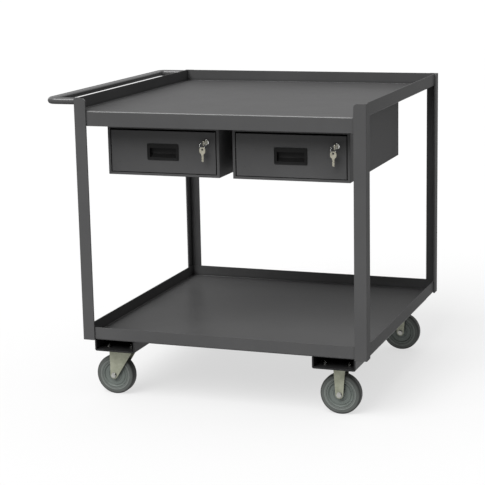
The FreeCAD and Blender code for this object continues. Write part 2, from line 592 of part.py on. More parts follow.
def swivel_caster(end, end_name):
    name = end_name + "_left_caster"
    x = channel_middle(-1)
    y = caster_middle(end)
    wheel_x = f"({x} - Sizes.swivel_lead)"
    race_under = "(Sizes.caster_height - Sizes.plate_sheet - Sizes.race_height)"
    crown_top = f"({race_under} - Sizes.crown_gap)"
    race = rod(name + "_race", named("race_radius"), named("race_height"), (x, y, race_under))
    race_edge = value(race_under)
    soft_race = rounded(name + "_race_soft", race, named("race_soft"),
                        lambda edge: near(edge.BoundBox.ZMax, race_edge))
    plate = fuse(name + "_plate_blank", [mounting_plate(name + "_plate", x, y), soft_race])
    pin_hole = rod(name + "_pin_hole", named("kingpin_radius"), "Sizes.plate_sheet + Sizes.race_height",
                   (x, y, race_under))
    finish(cut(name + "_plate_cut", plate, bolt_holes(name, -1, end) + [pin_hole]), name + "_plate")
    pin = "Sizes.kingpin_radius"
    pin_top = "(Sizes.caster_height - Sizes.kingpin_inset)"
    nut_top = f"({crown_top} - Sizes.fork_sheet - Sizes.kingpin_inset)"
    nut_base = f"({nut_top} - Sizes.kingpin_nut_height)"
    tail = f"({nut_base} - Sizes.kingpin_tail)"
    nut = f"({pin} + Sizes.kingpin_nut)"
    turned(name + "_kingpin_body", name + "_kingpin",
           (("0", tail), (f"{pin} - Sizes.kingpin_chamfer", tail), (pin, f"{tail} + Sizes.kingpin_chamfer"),
            (pin, nut_base), (nut, nut_base), (nut, nut_top), (pin, nut_top), (pin, pin_top),
            ("0", pin_top)), (x, y, "0"))
    blade = fork_blade(name + "_fork", wheel_x, x, y, named("fork_top_back"), named("fork_top_front"),
                       crown_top)
    running_hole = rod(name + "_running_hole", "Sizes.kingpin_radius + Sizes.axle_gap",
                       named("fork_sheet"), (x, y, f"{crown_top} - Sizes.fork_sheet"))
    finish(cut(name + "_fork_cut", blade, [running_hole]), name + "_fork")
    wheel(end_name + "_left_wheel", wheel_x, y)
    axle(end_name + "_left_axle", wheel_x, y)


def rigid_caster(end, end_name):
    name = end_name + "_right_caster"
    x = channel_middle(1)
    y = caster_middle(end)
    crown_top = "(Sizes.caster_height - Sizes.plate_sheet)"
    half = named("rigid_top_half")
    blade = fork_blade(name + "_fork", x, x, y, half, half, crown_top)
    whole = fuse(name + "_whole", [mounting_plate(name + "_plate", x, y), blade])
    finish(cut(name + "_drilled", whole, bolt_holes(name, 1, end)), name + "_fork")
    wheel(end_name + "_right_wheel", x, y)
    axle(end_name + "_right_axle", x, y)


def drawer_middle(side):
    if side < 0:
        return f"({LEFT} + Sizes.housing_inset + Sizes.housing_width / 2)"
    return f"({RIGHT} - Sizes.housing_inset - Sizes.housing_width / 2)"


def drawer_housing(side, side_name):
    """Folded case, open in front inside a narrow rim, with a lip behind the header for the cam."""
    name = side_name + "_housing"
    start = f"({drawer_middle(side)} - Sizes.housing_width / 2)"
    wall = named("housing_sheet")
    blank = block(name + "_blank", (named("housing_width"), named("housing_depth"), named("housing_drop")),
                  (start, HOUSING_FRONT, HOUSING_BASE))
    hollow = block(name + "_hollow", (f"Sizes.housing_width - 2 * {wall}",
                                      f"Sizes.housing_depth - 2 * {wall}",
                                      f"Sizes.housing_drop - 2 * {wall}"),
                   (f"{start} + {wall}", f"{HOUSING_FRONT} + {wall}", f"{HOUSING_BASE} + {wall}"))
    mouth = block(name + "_mouth", ("Sizes.housing_width - 2 * Sizes.jamb_width", "Sizes.housing_sheet",
                                    "Sizes.housing_drop - Sizes.sill_height - Sizes.header_height"),
                  (f"{start} + Sizes.jamb_width", HOUSING_FRONT, f"{HOUSING_BASE} + Sizes.sill_height"))
    case = cut(name + "_case", blank, [hollow, mouth])
    header_return = block(name + "_return", ("Sizes.housing_width - 2 * Sizes.jamb_width",
                                             named("header_return"), wall),
                          (f"{start} + Sizes.jamb_width", HOUSING_FRONT,
                           f"{DECK_UNDER} - Sizes.header_height"))
    whole = fuse(name + "_whole", [case, header_return])
    left = value(start)
    right = left + value(named("housing_width"))
    base = value(HOUSING_BASE)

    def outer_fold(edge):
        spot = middle_of(edge)
        upright = along(edge, Z_AXIS) and near(spot.y, value(HOUSING_FRONT))
        bottom = (along(edge, X_AXIS) or along(edge, Y_AXIS)) and near(spot.z, base)
        return (near(spot.x, left) or near(spot.x, right)) and upright or bottom

    finish(rounded(name + "_folds", whole, named("case_fold"), outer_fold), side_name + "_drawer_housing")


def slide_mounts():
    """Four folded strips that stand the slides off the housing walls, level with the jambs."""
    strips = []
    wall = named("housing_sheet")
    thickness = f"(Sizes.jamb_width - {wall})"
    length = "(Sizes.slide_length - Sizes.mount_shorter)"
    for side, side_name in SIDES:
        for hand in (-1, 1):
            name = f"mount_{side_name}_{'a' if hand < 0 else 'b'}"
            reach = f"{hand} * (Sizes.housing_width / 2 - {wall})"
            outer = f"({drawer_middle(side)} + {reach})"
            start = outer if hand < 0 else f"({outer} - {thickness})"
            inner_start = start if hand < 0 else f"({start} + {wall})"
            blank = block(name + "_blank", (thickness, length, named("mount_height")),
                          (start, SLIDE_FRONT, f"{SLIDE_Z} - Sizes.mount_height / 2"))
            hollow = block(name + "_hollow", (f"{thickness} - {wall}", length,
                                              f"Sizes.mount_height - 2 * {wall}"),
                           (inner_start, SLIDE_FRONT, f"{SLIDE_Z} - Sizes.mount_height / 2 + {wall}"))
            strips.append(cut(name, blank, [hollow]))
    finish(group("mount_group", strips), "slide_mounts")


def slide_back(side, hand):
    """The plane that a slide's outer member is screwed to."""
    return f"({drawer_middle(side)} + {hand} * (Sizes.housing_width / 2 - Sizes.jamb_width))"


def slide_members(side, side_name):
    """Three nested rolled members on each side: fixed outer, floating middle, moving inner."""
    wall = named("slide_wall")
    half = "Sizes.slide_height / 2"
    middle_half = f"{half} - Sizes.slide_step"
    inner_half = f"{half} - 2 * Sizes.slide_step"
    members = {"outer": [], "middle": [], "inner": []}
    for hand in (-1, 1):
        tag = f"{side_name}_{'a' if hand < 0 else 'b'}"
        back = slide_back(side, hand)

        def strip(name, near_gap, far_gap, half_height):
            low = f"({back} + {near_gap})" if hand < 0 else f"({back} - ({far_gap}))"
            return block(name, (f"({far_gap}) - ({near_gap})", named("slide_length"), f"2 * ({half_height})"),
                         (low, SLIDE_FRONT, f"{SLIDE_Z} - ({half_height})"))

        outer = strip(f"outer_{tag}_blank", "0", named("outer_reach"), half)
        outer_room = strip(f"outer_{tag}_room", wall, named("outer_reach"), f"{half} - {wall}")
        members["outer"].append(cut(f"outer_{tag}", outer, [outer_room]))
        middle = strip(f"middle_{tag}_blank", named("middle_start"), named("middle_reach"), middle_half)
        near_room = strip(f"middle_{tag}_near", named("middle_start"), named("middle_web_start"),
                          f"{middle_half} - {wall}")
        far_room = strip(f"middle_{tag}_far", f"Sizes.middle_web_start + {wall}", named("middle_reach"),
                         f"{middle_half} - {wall}")
        members["middle"].append(cut(f"middle_{tag}", middle, [near_room, far_room]))
        inner = strip(f"inner_{tag}_blank", named("inner_start"), named("slide_depth"), inner_half)
        inner_room = strip(f"inner_{tag}_room", named("inner_start"), f"Sizes.slide_depth - {wall}",
                           f"{inner_half} - {wall}")
        members["inner"].append(cut(f"inner_{tag}", inner, [inner_room]))
    for kind, pieces in members.items():
        finish(group(f"{side_name}_{kind}_group", pieces), f"{side_name}_{kind}_slides")


def slide_screws():
    """Three low pan-head screws through each outer member."""
    screws = []
    for side, side_name in SIDES:
        for hand in (-1, 1):
            back = slide_back(side, hand)
            head = f"{back} + Sizes.slide_wall"
            if hand > 0:
                head = f"{back} - Sizes.slide_wall - Sizes.screw_head_height"
            for number, share in enumerate(SCREW_SHARES):
                name = f"screw_{side_name}_{'a' if hand < 0 else 'b'}_{number}"
                y = f"{SLIDE_FRONT} + {share} * Sizes.slide_length"
                screws.append(rod(name, named("screw_head"), named("screw_head_height"),
                                  (head, y, SLIDE_Z), "x"))
    finish(group("screw_group", screws), "slide_screws")


def drawer_box(side, side_name):
    name = side_name + "_box"
    start = f"({drawer_middle(side)} - {BOX_WIDTH} / 2)"
    wall = named("drawer_sheet")
    blank = block(name + "_blank", (BOX_WIDTH, named("box_depth"), BOX_HEIGHT),
                  (start, FACE_BACK, BOX_BASE))
    hollow = block(name + "_hollow", (f"{BOX_WIDTH} - 2 * {wall}", f"Sizes.box_depth - 2 * {wall}",
                                      BOX_HEIGHT),
                   (f"{start} + {wall}", f"{FACE_BACK} + {wall}", f"{BOX_BASE} + {wall}"))
    lock_hole = rod(name + "_lock_hole", "Sizes.barrel_radius + Sizes.lock_hole_gap", wall,
                    (f"{drawer_middle(side)} + Sizes.lock_offset", FACE_BACK, LOCK_Z), "y")
    finish(cut(name + "_cut", blank, [hollow, lock_hole]), side_name + "_drawer_box")


def drawer_front(side, side_name):
    """Folded pan with a window for the pull and a round hole for the lock."""
    name = side_name + "_front"
    start = f"({drawer_middle(side)} - Sizes.face_width / 2)"
    wall = named("housing_sheet")
    blank = block(name + "_blank", (named("face_width"), named("face_depth"), named("face_height")),
                  (start, FACE_FRONT, FACE_BASE))
    front = value(FACE_FRONT)
    soft = rounded(name + "_soft", blank, named("case_fold"), lambda edge: near(edge.BoundBox.YMax, front))
    hollow = block(name + "_hollow", (f"Sizes.face_width - 2 * {wall}", "Sizes.face_depth",
                                      f"Sizes.face_height - 2 * {wall}"),
                   (f"{start} + {wall}", f"{FACE_FRONT} + {wall}", f"{FACE_BASE} + {wall}"))
    cup_width = "(Sizes.pull_cup_width + 2 * Sizes.pull_gap)"
    cup_height = "(Sizes.pull_cup_height + 2 * Sizes.pull_gap)"
    window = block(name + "_window", (cup_width, wall, cup_height),
                   (f"{drawer_middle(side)} - {cup_width} / 2", FACE_FRONT,
                    f"{PULL_Z} - {cup_height} / 2"))
    lock_hole = rod(name + "_lock_hole", "Sizes.barrel_radius + Sizes.lock_hole_gap", wall,
                    (f"{drawer_middle(side)} + Sizes.lock_offset", FACE_FRONT, LOCK_Z), "y")
    finish(cut(name + "_cut", soft, [hollow, window, lock_hole]), side_name + "_drawer_front")


def drawer_pull(side, side_name):
    """Moulded cup pull: a thin flange on the face, a cup behind it and a scoop to hook fingers in."""
    name = side_name + "_pull"
    x = drawer_middle(side)
    flange = block(name + "_flange", (named("pull_width"), named("pull_flange"), named("pull_height")),
                   (f"{x} - Sizes.pull_width / 2", f"{FACE_FRONT} - Sizes.pull_flange",
                    f"{PULL_Z} - Sizes.pull_height / 2"))
    soft_flange = rounded(name + "_corners", flange, named("pull_corner"), lambda edge: along(edge, Y_AXIS))
    cup = block(name + "_cup", (named("pull_cup_width"), named("pull_cup_depth"),
                                named("pull_cup_height")),
                (f"{x} - Sizes.pull_cup_width / 2", FACE_FRONT, f"{PULL_Z} - Sizes.pull_cup_height / 2"))
    whole = fuse(name + "_whole", [soft_flange, cup])
    scoop = new_body(name + "_scoop")
    side_view = new_sketch(scoop, name + "_scoop_side", "YZ_Plane")
    front = "(-Sizes.pull_flange)"
    back = "(Sizes.pull_cup_depth - Sizes.pull_wall)"
    low = "(-Sizes.pull_mouth_height / 2)"
    high = "(Sizes.pull_cup_height / 2 - Sizes.pull_wall)"
    lip = "(Sizes.pull_mouth_height / 2 - Sizes.pull_lip)"
    wall = named("pull_wall")
    outline(side_view, ((front, low), (wall, low), (back, f"{low} + Sizes.pull_ramp"), (back, high),
                        (wall, high), (wall, lip), (front, lip)))
    pad(scoop, side_view, name + "_scoop_width", named("pull_mouth_width"), symmetric=True)
    place(scoop, (x, FACE_FRONT, PULL_Z))
    finish(cut(name + "_cut", whole, [scoop]), side_name + "_drawer_pull")


def drawer_lock(side, side_name):
    name = side_name + "_lock"
    x = f"({drawer_middle(side)} + Sizes.lock_offset)"
    nut_face = f"({FACE_BACK} + Sizes.drawer_sheet)"
    head = rod(name + "_head", named("lock_head_radius"), named("lock_head_depth"),
               (x, f"{FACE_FRONT} - Sizes.lock_head_depth", LOCK_Z), "y")
    front = value(f"{FACE_FRONT} - Sizes.lock_head_depth")
    soft_head = rounded(name + "_head_soft", head, named("lock_head_soft"),
                        lambda edge: near(edge.BoundBox.YMax, front))
    barrel = rod(name + "_barrel_body", named("barrel_radius"),
                 f"{LOCK_NUT_BACK} + Sizes.barrel_past_nut - {FACE_FRONT}", (x, FACE_FRONT, LOCK_Z), "y")
    bore = rod(name + "_bore", "Sizes.plug_radius + Sizes.plug_gap", THROUGH,
               (x, f"{FACE_FRONT} - Sizes.lock_head_depth", LOCK_Z), "y")
    shell = cut(name + "_shell", fuse(name + "_shell_blank", [soft_head, barrel]), [bore])
    nut_blank = hexagon(name + "_nut_blank", named("lock_nut_corner"), named("lock_nut_height"),
                        (x, nut_face, LOCK_Z), "y")
    nut_bore = rod(name + "_nut_bore", named("barrel_radius"), named("lock_nut_height"),
                   (x, nut_face, LOCK_Z), "y")
    finish(group(name + "_barrel_group", [shell, cut(name + "_nut", nut_blank, [nut_bore])]),
           side_name + "_lock_barrel")
    plug_front = f"({FACE_FRONT} - Sizes.lock_head_depth + Sizes.plug_recess)"
    plug = rod(name + "_plug_body", named("plug_radius"), f"{CAM_FRONT} - {plug_front}",
               (x, plug_front, LOCK_Z), "y")
    stud = rod(name + "_stud", named("cam_stud"), "Sizes.cam_sheet + Sizes.stud_past_cam",
               (x, CAM_FRONT, LOCK_Z), "y")
    gap = named("keyway_gap")
    keyway = block(name + "_keyway", (f"Sizes.bow_sheet + 2 * {gap}",
                                      "Sizes.blade_length + Sizes.bow_radius",
                                      f"Sizes.blade_height + 4 * {gap}"),
                   (f"{x} - Sizes.bow_sheet / 2 - {gap}", f"{KEY_Y} + Sizes.keyway_start",
                    f"{LOCK_Z} - Sizes.blade_height / 2 - 2 * {gap}"))
    plug_blank = fuse(name + "_plug_blank", [plug, stud])
    finish(cut(name + "_plug_cut", plug_blank, [keyway]), side_name + "_lock_plug")
    arm = block(name + "_cam_arm", (named("cam_length"), named("cam_sheet"), named("cam_width")),
                (f"{x} - Sizes.cam_length", CAM_FRONT, f"{LOCK_Z} - Sizes.cam_width / 2"))
    eye = rod(name + "_cam_eye", named("cam_eye"), named("cam_sheet"), (x, CAM_FRONT, LOCK_Z), "y")
    cam_hole = rod(name + "_cam_hole", named("cam_stud"), named("cam_sheet"), (x, CAM_FRONT, LOCK_Z), "y")
    cam_blank = fuse(name + "_cam_blank", [arm, eye])
    finish(cut(name + "_cam_cut", cam_blank, [cam_hole]), side_name + "_lock_cam")


def key_shape(name):
    """Key pointing along +Y from its bow hole at the origin, flat in the YZ plane."""
    half = "Sizes.bow_sheet / 2"
    sheet_size = named("bow_sheet")
    bow = rod(name + "_bow", named("bow_radius"), sheet_size, (f"-{half}", named("bow_hole_shift"), "0"), "x")
    blade = block(name + "_blade", (sheet_size, "Sizes.bow_radius + Sizes.blade_length",
                                    named("blade_height")),
                  (f"-{half}", named("bow_hole_shift"), "-Sizes.blade_height / 2"))
    hole = rod(name + "_bow_hole", named("bow_hole"), sheet_size, (f"-{half}", "0", "0"), "x")
    first = "Sizes.bow_hole_shift + Sizes.bow_radius + Sizes.notch_start"
    notches = []
    for number in range(KEY_NOTCHES):
        notches.append(rod(f"{name}_notch_{number}", named("notch_radius"), sheet_size,
                           (f"-{half}", f"{first} + {number} * Sizes.notch_pitch",
                            "Sizes.blade_height / 2 + Sizes.notch_rise"), "x"))
    return cut(name + "_cut", fuse(name + "_blank", [bow, blade]), [hole] + notches)


def keys(side, side_name):
    name = side_name + "_key"
    x = f"({drawer_middle(side)} + Sizes.lock_offset)"
    finish(place(key_shape(name), (x, KEY_Y, LOCK_Z)), side_name + "_lock_key")
    across = math.sin(math.radians(RING_CATCH))
    down = math.cos(math.radians(RING_CATCH))
    ahead = math.cos(math.radians(RING_TURN))
    inward = math.sin(math.radians(RING_TURN))
    ring_x = f"({x} - Sizes.ring_radius * {across * ahead:.4f})"
    ring_y = f"({KEY_Y} - Sizes.ring_radius * {across * inward:.4f})"
    ring_z = f"({LOCK_Z} - Sizes.ring_radius * {down:.4f})"
    ring = doc.addObject("Part::Torus", side_name + "_ring_body")
    bind(ring, {"Radius1": named("ring_radius"), "Radius2": named("ring_wire")})
    place(ring, (ring_x, ring_y, ring_z))
    ring.Placement.Rotation = FreeCAD.Rotation(Z_AXIS, RING_TURN).multiply(FreeCAD.Rotation(X_AXIS, 90))
    finish(ring, side_name + "_key_ring")
    spare = key_shape(side_name + "_spare")
    hang = "Sizes.bow_hole - Sizes.ring_wire - Sizes.ring_slack"
    place(spare, (ring_x, ring_y, f"{ring_z} - Sizes.ring_radius - ({hang})"))
    hanging = FreeCAD.Rotation(Z_AXIS, 90 - SPARE_TURN).multiply(FreeCAD.Rotation(X_AXIS, -90))
    spare.Placement.Rotation = hanging
    finish(spare, side_name + "_spare_key")


def build():
    top_shelf()
    lower_shelf()
    post("front_left_post", (LEFT, FRONT), 0)
    post("front_right_post", (RIGHT, FRONT), 1)
    post("rear_right_post", (RIGHT, REAR), 2)
    post("rear_left_post", (LEFT, REAR), 3)
    push_handle()
    for side, side_name in SIDES:
        caster_channel(side, side_name)
        drawer_housing(side, side_name)
    caster_fasteners()
    slide_mounts()
    slide_screws()
    for end, end_name in ENDS:
        swivel_caster(end, end_name)
        rigid_caster(end, end_name)
    for side, side_name in SIDES:
        slide_members(side, side_name)
        drawer_box(side, side_name)
        drawer_front(side, side_name)
        drawer_pull(side, side_name)
        drawer_lock(side, side_name)
        keys(side, side_name)


build()
doc.recompute()

for item in doc.Objects:
    if "Invalid" in item.State or "Error" in item.State:
        raise RuntimeError(f"{item.Label} failed: {item.State}")
for item in sub_parts:
    if item.Shape.isNull() or not item.Shape.isValid():
        raise RuntimeError(f"{item.Label} has no valid shape")

os.makedirs("parts", exist_ok=True)
for item in sub_parts:
    item.Shape.exportStep(f"parts/{item.Label}.step")
    print(item.Label, len(item.Shape.Solids), "solids", round(item.Shape.Volume / 1000, 1), "cm3")
print(len(sub_parts), "sub-parts")
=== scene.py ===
import json
import math

import bpy
from mathutils import Matrix, Vector


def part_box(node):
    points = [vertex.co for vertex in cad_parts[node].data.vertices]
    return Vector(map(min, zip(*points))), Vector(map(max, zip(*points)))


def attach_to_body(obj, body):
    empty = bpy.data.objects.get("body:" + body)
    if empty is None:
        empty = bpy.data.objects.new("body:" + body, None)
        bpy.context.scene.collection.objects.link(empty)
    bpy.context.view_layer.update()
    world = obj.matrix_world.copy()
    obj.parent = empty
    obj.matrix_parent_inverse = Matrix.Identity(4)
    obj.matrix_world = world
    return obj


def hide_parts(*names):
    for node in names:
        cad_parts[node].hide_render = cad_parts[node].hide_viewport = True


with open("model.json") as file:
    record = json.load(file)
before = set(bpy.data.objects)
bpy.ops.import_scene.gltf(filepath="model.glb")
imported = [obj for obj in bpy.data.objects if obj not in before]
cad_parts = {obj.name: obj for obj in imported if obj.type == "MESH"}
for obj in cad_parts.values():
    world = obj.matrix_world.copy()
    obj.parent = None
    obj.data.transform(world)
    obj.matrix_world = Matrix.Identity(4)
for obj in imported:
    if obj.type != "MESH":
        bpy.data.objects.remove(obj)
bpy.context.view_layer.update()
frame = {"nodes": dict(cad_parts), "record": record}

nodes = frame["nodes"]
rightward = Vector((1, 0, 0))
sideways = Vector((0, 1, 0))
upward = Vector((0, 0, 1))
print("frame loaded,", len(nodes), "nodes")


def deselectAll():
    # operators work on what is selected, so each piece starts from a clean selection
    if bpy.context.object and bpy.context.object.mode != "OBJECT":
        bpy.ops.object.mode_set(mode="OBJECT")
    bpy.ops.object.select_all(action="DESELECT")


def makeActive(piece):
    deselectAll()
    piece.select_set(True)
    bpy.context.view_layer.objects.active = piece


def applyModifier(piece, kind, **values):
    makeActive(piece)
    modifier = piece.modifiers.new(kind.lower(), kind)
    for name, value in values.items():
        setattr(modifier, name, value)
    bpy.ops.object.modifier_apply(modifier=modifier.name)


def closeMesh(threshold=1e-6):
    bpy.ops.mesh.select_all(action="SELECT")
    bpy.ops.mesh.remove_doubles(threshold=threshold)
    bpy.ops.mesh.normals_make_consistent(inside=False)
    bpy.ops.object.mode_set(mode="OBJECT")


def mergeDoubles(piece):
    makeActive(piece)
    bpy.ops.object.mode_set(mode="EDIT")
    bpy.ops.mesh.select_mode(type="VERT")
    closeMesh(2e-7)


def carve(piece, tool, operation="DIFFERENCE"):
    applyModifier(piece, "BOOLEAN", operation=operation, object=tool, solver="EXACT")
    makeActive(tool)
    bpy.ops.object.delete()
    mergeDoubles(piece)


def roundEdges(piece, width, segments=2, angle=40):
    applyModifier(piece, "BEVEL", width=width, segments=segments, limit_method="ANGLE",
                  angle_limit=math.radians(angle), use_clamp_overlap=True)
    mergeDoubles(piece)


def settle(piece, smoothAngle=35):
    makeActive(piece)
    bpy.ops.object.transform_apply(location=True, rotation=True, scale=True)
    bpy.ops.object.shade_smooth_by_angle(angle=math.radians(smoothAngle))
    return piece


def startPath(name, spots):
    # one vertex, extruded from spot to spot; edit mode stays on
    deselectAll()
    bpy.ops.mesh.primitive_plane_add(size=0.01, location=(0, 0, 0))
    piece = bpy.context.active_object
    piece.name = name
    bpy.ops.object.mode_set(mode="EDIT")
    bpy.ops.mesh.select_mode(type="VERT")
    bpy.ops.mesh.select_all(action="SELECT")
    bpy.ops.mesh.merge(type="CENTER")
    bpy.ops.transform.translate(value=spots[0])
    for here, there in zip(spots, spots[1:]):
        bpy.ops.mesh.extrude_region_move(TRANSFORM_OT_translate={"value": there - here})
    bpy.ops.mesh.select_all(action="SELECT")
    return piece


def lathe(name, outline, centre, axis, across, steps=72):
    # outline is (radius, distance along the axis) pairs
    spots = [Vector(centre) + across * radius + axis * along for radius, along in outline]
    piece = startPath(name, spots)
    bpy.ops.mesh.spin(steps=steps, angle=math.tau, center=centre, axis=axis)
    closeMesh()
    return piece


def cutSheet(name, corners, thickness):
    # flat outline closed into a face and pulled out by the thickness vector
    piece = startPath(name, corners + [corners[0]])
    bpy.ops.mesh.remove_doubles(threshold=1e-6)
    bpy.ops.mesh.edge_face_add()
    bpy.ops.mesh.extrude_region_move(TRANSFORM_OT_translate={"value": thickness})
    closeMesh()
    return piece


def makeBlock(name, low, high):
    low, high = Vector(low), Vector(high)
    footprint = [Vector((low.x, low.y, low.z)), Vector((high.x, low.y, low.z)),
                 Vector((high.x, high.y, low.z)), Vector((low.x, high.y, low.z))]
    return cutSheet(name, footprint, upward * (high.z - low.z))


def copyPiece(piece, name, shift):
    twin = piece.copy()
    twin.data = piece.data.copy()
    twin.name = name
    bpy.context.scene.collection.objects.link(twin)
    twin.data.transform(Matrix.Translation(shift))
    return twin


def joinPieces(name, pieces):
    deselectAll()
    for piece in pieces:
        piece.select_set(True)
    bpy.context.view_layer.objects.active = pieces[0]
    bpy.ops.object.join()
    pieces[0].name = name
    return pieces[0]


def markVertices(piece, name, rule):
    # a value per vertex that the finishes read
    marks = piece.data.attributes.new(name, "FLOAT", "POINT")
    for vertex in piece.data.vertices:
        marks.data[vertex.index].value = rule(vertex.co)


def setMaterial(piece, material):
    piece.data.materials.clear()
    piece.data.materials.append(material)


def crossAxis(axis):
    # a direction square to the axis, where an outline starts
    return rightward if abs(axis.x) < 0.5 else upward


def attach(piece, body, slot, *replaced):
    setMaterial(piece, finishes[slot])
    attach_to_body(piece, body)
    if replaced:
        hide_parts(*replaced)


fastenerSpec = {
    "coneSlope": 0.16, "coneTop": 0.86, "coneOver": 1.1,        # shares of a head's corner radius
    "coneBelow": 0.0005,
    "washerSoft": 0.25,                                         # edge rounding, share of the sheet
    "threadDepth": 0.45, "threadHalf": 0.5, "threadEnd": 1.5,   # shares of the pitch
    "turnSteps": 48,
}


def hexHead(name, corner, height, base, axis):
    # six-sided head whose corners are turned off by a cone at the outer end
    values = fastenerSpec
    across = crossAxis(axis)
    other = axis.cross(across)
    spots = []
    for number in range(6):
        angle = math.radians(60 * number)
        spots.append(base + across * corner * math.cos(angle) + other * corner * math.sin(angle))
    head = cutSheet(name, spots, axis * height)
    slope, below, over = corner * values["coneSlope"], values["coneBelow"], values["coneOver"]
    outline = [(0, -below), (corner * over, -below), (corner * over, height - slope * over),
               (corner * values["coneTop"], height), (0, height)]
    cone = lathe(name + "Cone", outline, base, axis, across, values["turnSteps"])
    carve(head, cone, "INTERSECT")
    return head


def flatWasher(name, bore, radius, sheet, base, axis):
    soft = sheet * fastenerSpec["washerSoft"]
    outline = [(bore, 0), (radius - soft, 0), (radius, soft), (radius, sheet - soft),
               (radius - soft, sheet), (bore, sheet), (bore, 0)]
    return lathe(name, outline, base, axis, crossAxis(axis), fastenerSpec["turnSteps"])


def threadedRod(name, radius, start, end, threadFrom, pitch, steps=36):
    # plain shank, then rings of thread, then a chamfered end
    axis = (end - start).normalized()
    length = (end - start).length
    depth = pitch * fastenerSpec["threadDepth"]
    outline = [(0, 0), (radius, 0)]
    along = threadFrom
    while along < length - pitch * fastenerSpec["threadEnd"]:
        outline += [(radius, along), (radius - depth, along + pitch * fastenerSpec["threadHalf"])]
        along += pitch
    outline += [(radius, along), (radius - depth, length), (0, length)]
    return lathe(name, outline, start, axis, crossAxis(axis), steps)


def newGroup(name, inputs, outputs):
    # a shader group, shared by the finishes
    group = bpy.data.node_groups.new(name, "ShaderNodeTree")
    for label, default in inputs:
        socket = group.interface.new_socket(name=label, in_out="INPUT", socket_type="NodeSocketFloat")
        socket.default_value = default
    for label, kind in outputs:
        group.interface.new_socket(name=label, in_out="OUTPUT", socket_type=kind)
    return group, group.nodes.new("NodeGroupInput"), group.nodes.new("NodeGroupOutput")


def addMath(tree, operation, first, second=None, third=None, clamp=False):
    node = tree.nodes.new("ShaderNodeMath")
    node.operation = operation
    node.use_clamp = clamp
    for index, value in enumerate((first, second, third)):
        if isinstance(value, (int, float)):
            node.inputs[index].default_value = value
        elif value is not None:
            tree.links.new(value, node.inputs[index])
    return node.outputs[0]


def addNoise(tree, scale, detail, roughness, stretch=(1, 1, 1)):
    place = tree.nodes.new("ShaderNodeTexCoord")
    mapping = tree.nodes.new("ShaderNodeMapping")
    mapping.inputs["Scale"].default_value = stretch
    noise = tree.nodes.new("ShaderNodeTexNoise")
    noise.inputs["Detail"].default_value = detail
    noise.inputs["Roughness"].default_value = roughness
    tree.links.new(place.outputs["Object"], mapping.inputs["Vector"])
    tree.links.new(mapping.outputs["Vector"], noise.inputs["Vector"])
    if isinstance(scale, (int, float)):
        noise.inputs["Scale"].default_value = scale
    else:
        tree.links.new(scale, noise.inputs["Scale"])
    return noise.outputs["Fac"]


# where each mask begins or ends, and how steeply it rises
maskSpec = {
    "edgeGain": 6.0, "edgeSamples": 4,
    "riseFrom": 0.2, "riseGain": 4.0, "fallTo": 0.97, "fallGain": 10.0,     # how far a face looks up
    "shutReach": 0.02, "shutSamples": 16, "creviceFrom": 0.18, "creviceGain": 1.7,
    "openTo": 1.4, "openGain": 5.0,
    "patchDetail": 4.0, "patchRoughness": 0.62, "patchGain": 2.2, "patchShift": -0.6,
    "grainDetail": 2.0, "grainRoughness": 0.5,
    "scuffScale": 34.0, "scuffDetail": 6.0, "scuffRoughness": 0.72, "scuffStretch": (1, 0.4, 1),
    "scuffFrom": 0.61, "scuffGain": 8.0,
    "dustPower": 3.0, "dustScale": 9.0, "dustDetail": 5.0, "dustRoughness": 0.65,
}


def raiseAbove(tree, value, level, gain):
    return addMath(tree, "MULTIPLY", addMath(tree, "SUBTRACT", value, level), gain, clamp=True)


def makeEdgeGroup(values):
    # masks for sharp edges, bends, and painted shade in inside corners and gaps, and a normal rounded over
    # the edges
    group, start, stop = newGroup("edgeAndBend", [("Radius", 0.0015)],
                                  [("Edge", "NodeSocketFloat"), ("Bend", "NodeSocketFloat"),
                                   ("Painted Shade", "NodeSocketFloat"), ("Normal", "NodeSocketVector")])
    bevel = group.nodes.new("ShaderNodeBevel")
    bevel.samples = values["edgeSamples"]
    geometry = group.nodes.new("ShaderNodeNewGeometry")
    dot = group.nodes.new("ShaderNodeVectorMath")
    dot.operation = "DOT_PRODUCT"
    group.links.new(start.outputs["Radius"], bevel.inputs["Radius"])
    group.links.new(bevel.outputs["Normal"], dot.inputs[0])
    group.links.new(geometry.outputs["Normal"], dot.inputs[1])
    turn = addMath(group, "SUBTRACT", 1.0, dot.outputs["Value"])
    edge = addMath(group, "MULTIPLY", turn, values["edgeGain"], clamp=True)
    group.links.new(edge, stop.inputs["Edge"])
    # bends and rounds look partly up, between level faces and upright ones
    split = group.nodes.new("ShaderNodeSeparateXYZ")
    group.links.new(geometry.outputs["Normal"], split.inputs[0])
    rise = raiseAbove(group, split.outputs["Z"], values["riseFrom"], values["riseGain"])
    room = addMath(group, "SUBTRACT", values["fallTo"], split.outputs["Z"])
    fall = addMath(group, "MULTIPLY", room, values["fallGain"], clamp=True)
    # ambient occlusion: inside corners, narrow gaps and faces under overhangs are shut in on more than one
    # side, and the colour is darkened there as painted shade
    shut = group.nodes.new("ShaderNodeAmbientOcclusion")
    shut.samples = values["shutSamples"]
    shut.inputs["Distance"].default_value = values["shutReach"]
    closed = addMath(group, "SUBTRACT", 1.0, shut.outputs["AO"])
    crevice = raiseAbove(group, closed, values["creviceFrom"], values["creviceGain"])
    group.links.new(crevice, stop.inputs["Painted Shade"])
    raised = addMath(group, "MULTIPLY", closed, values["openGain"])
    openness = addMath(group, "SUBTRACT", values["openTo"], raised, clamp=True)
    bend = addMath(group, "MULTIPLY", rise, fall)
    group.links.new(addMath(group, "MULTIPLY", bend, openness), stop.inputs["Bend"])
    group.links.new(bevel.outputs["Normal"], stop.inputs["Normal"])
    return group


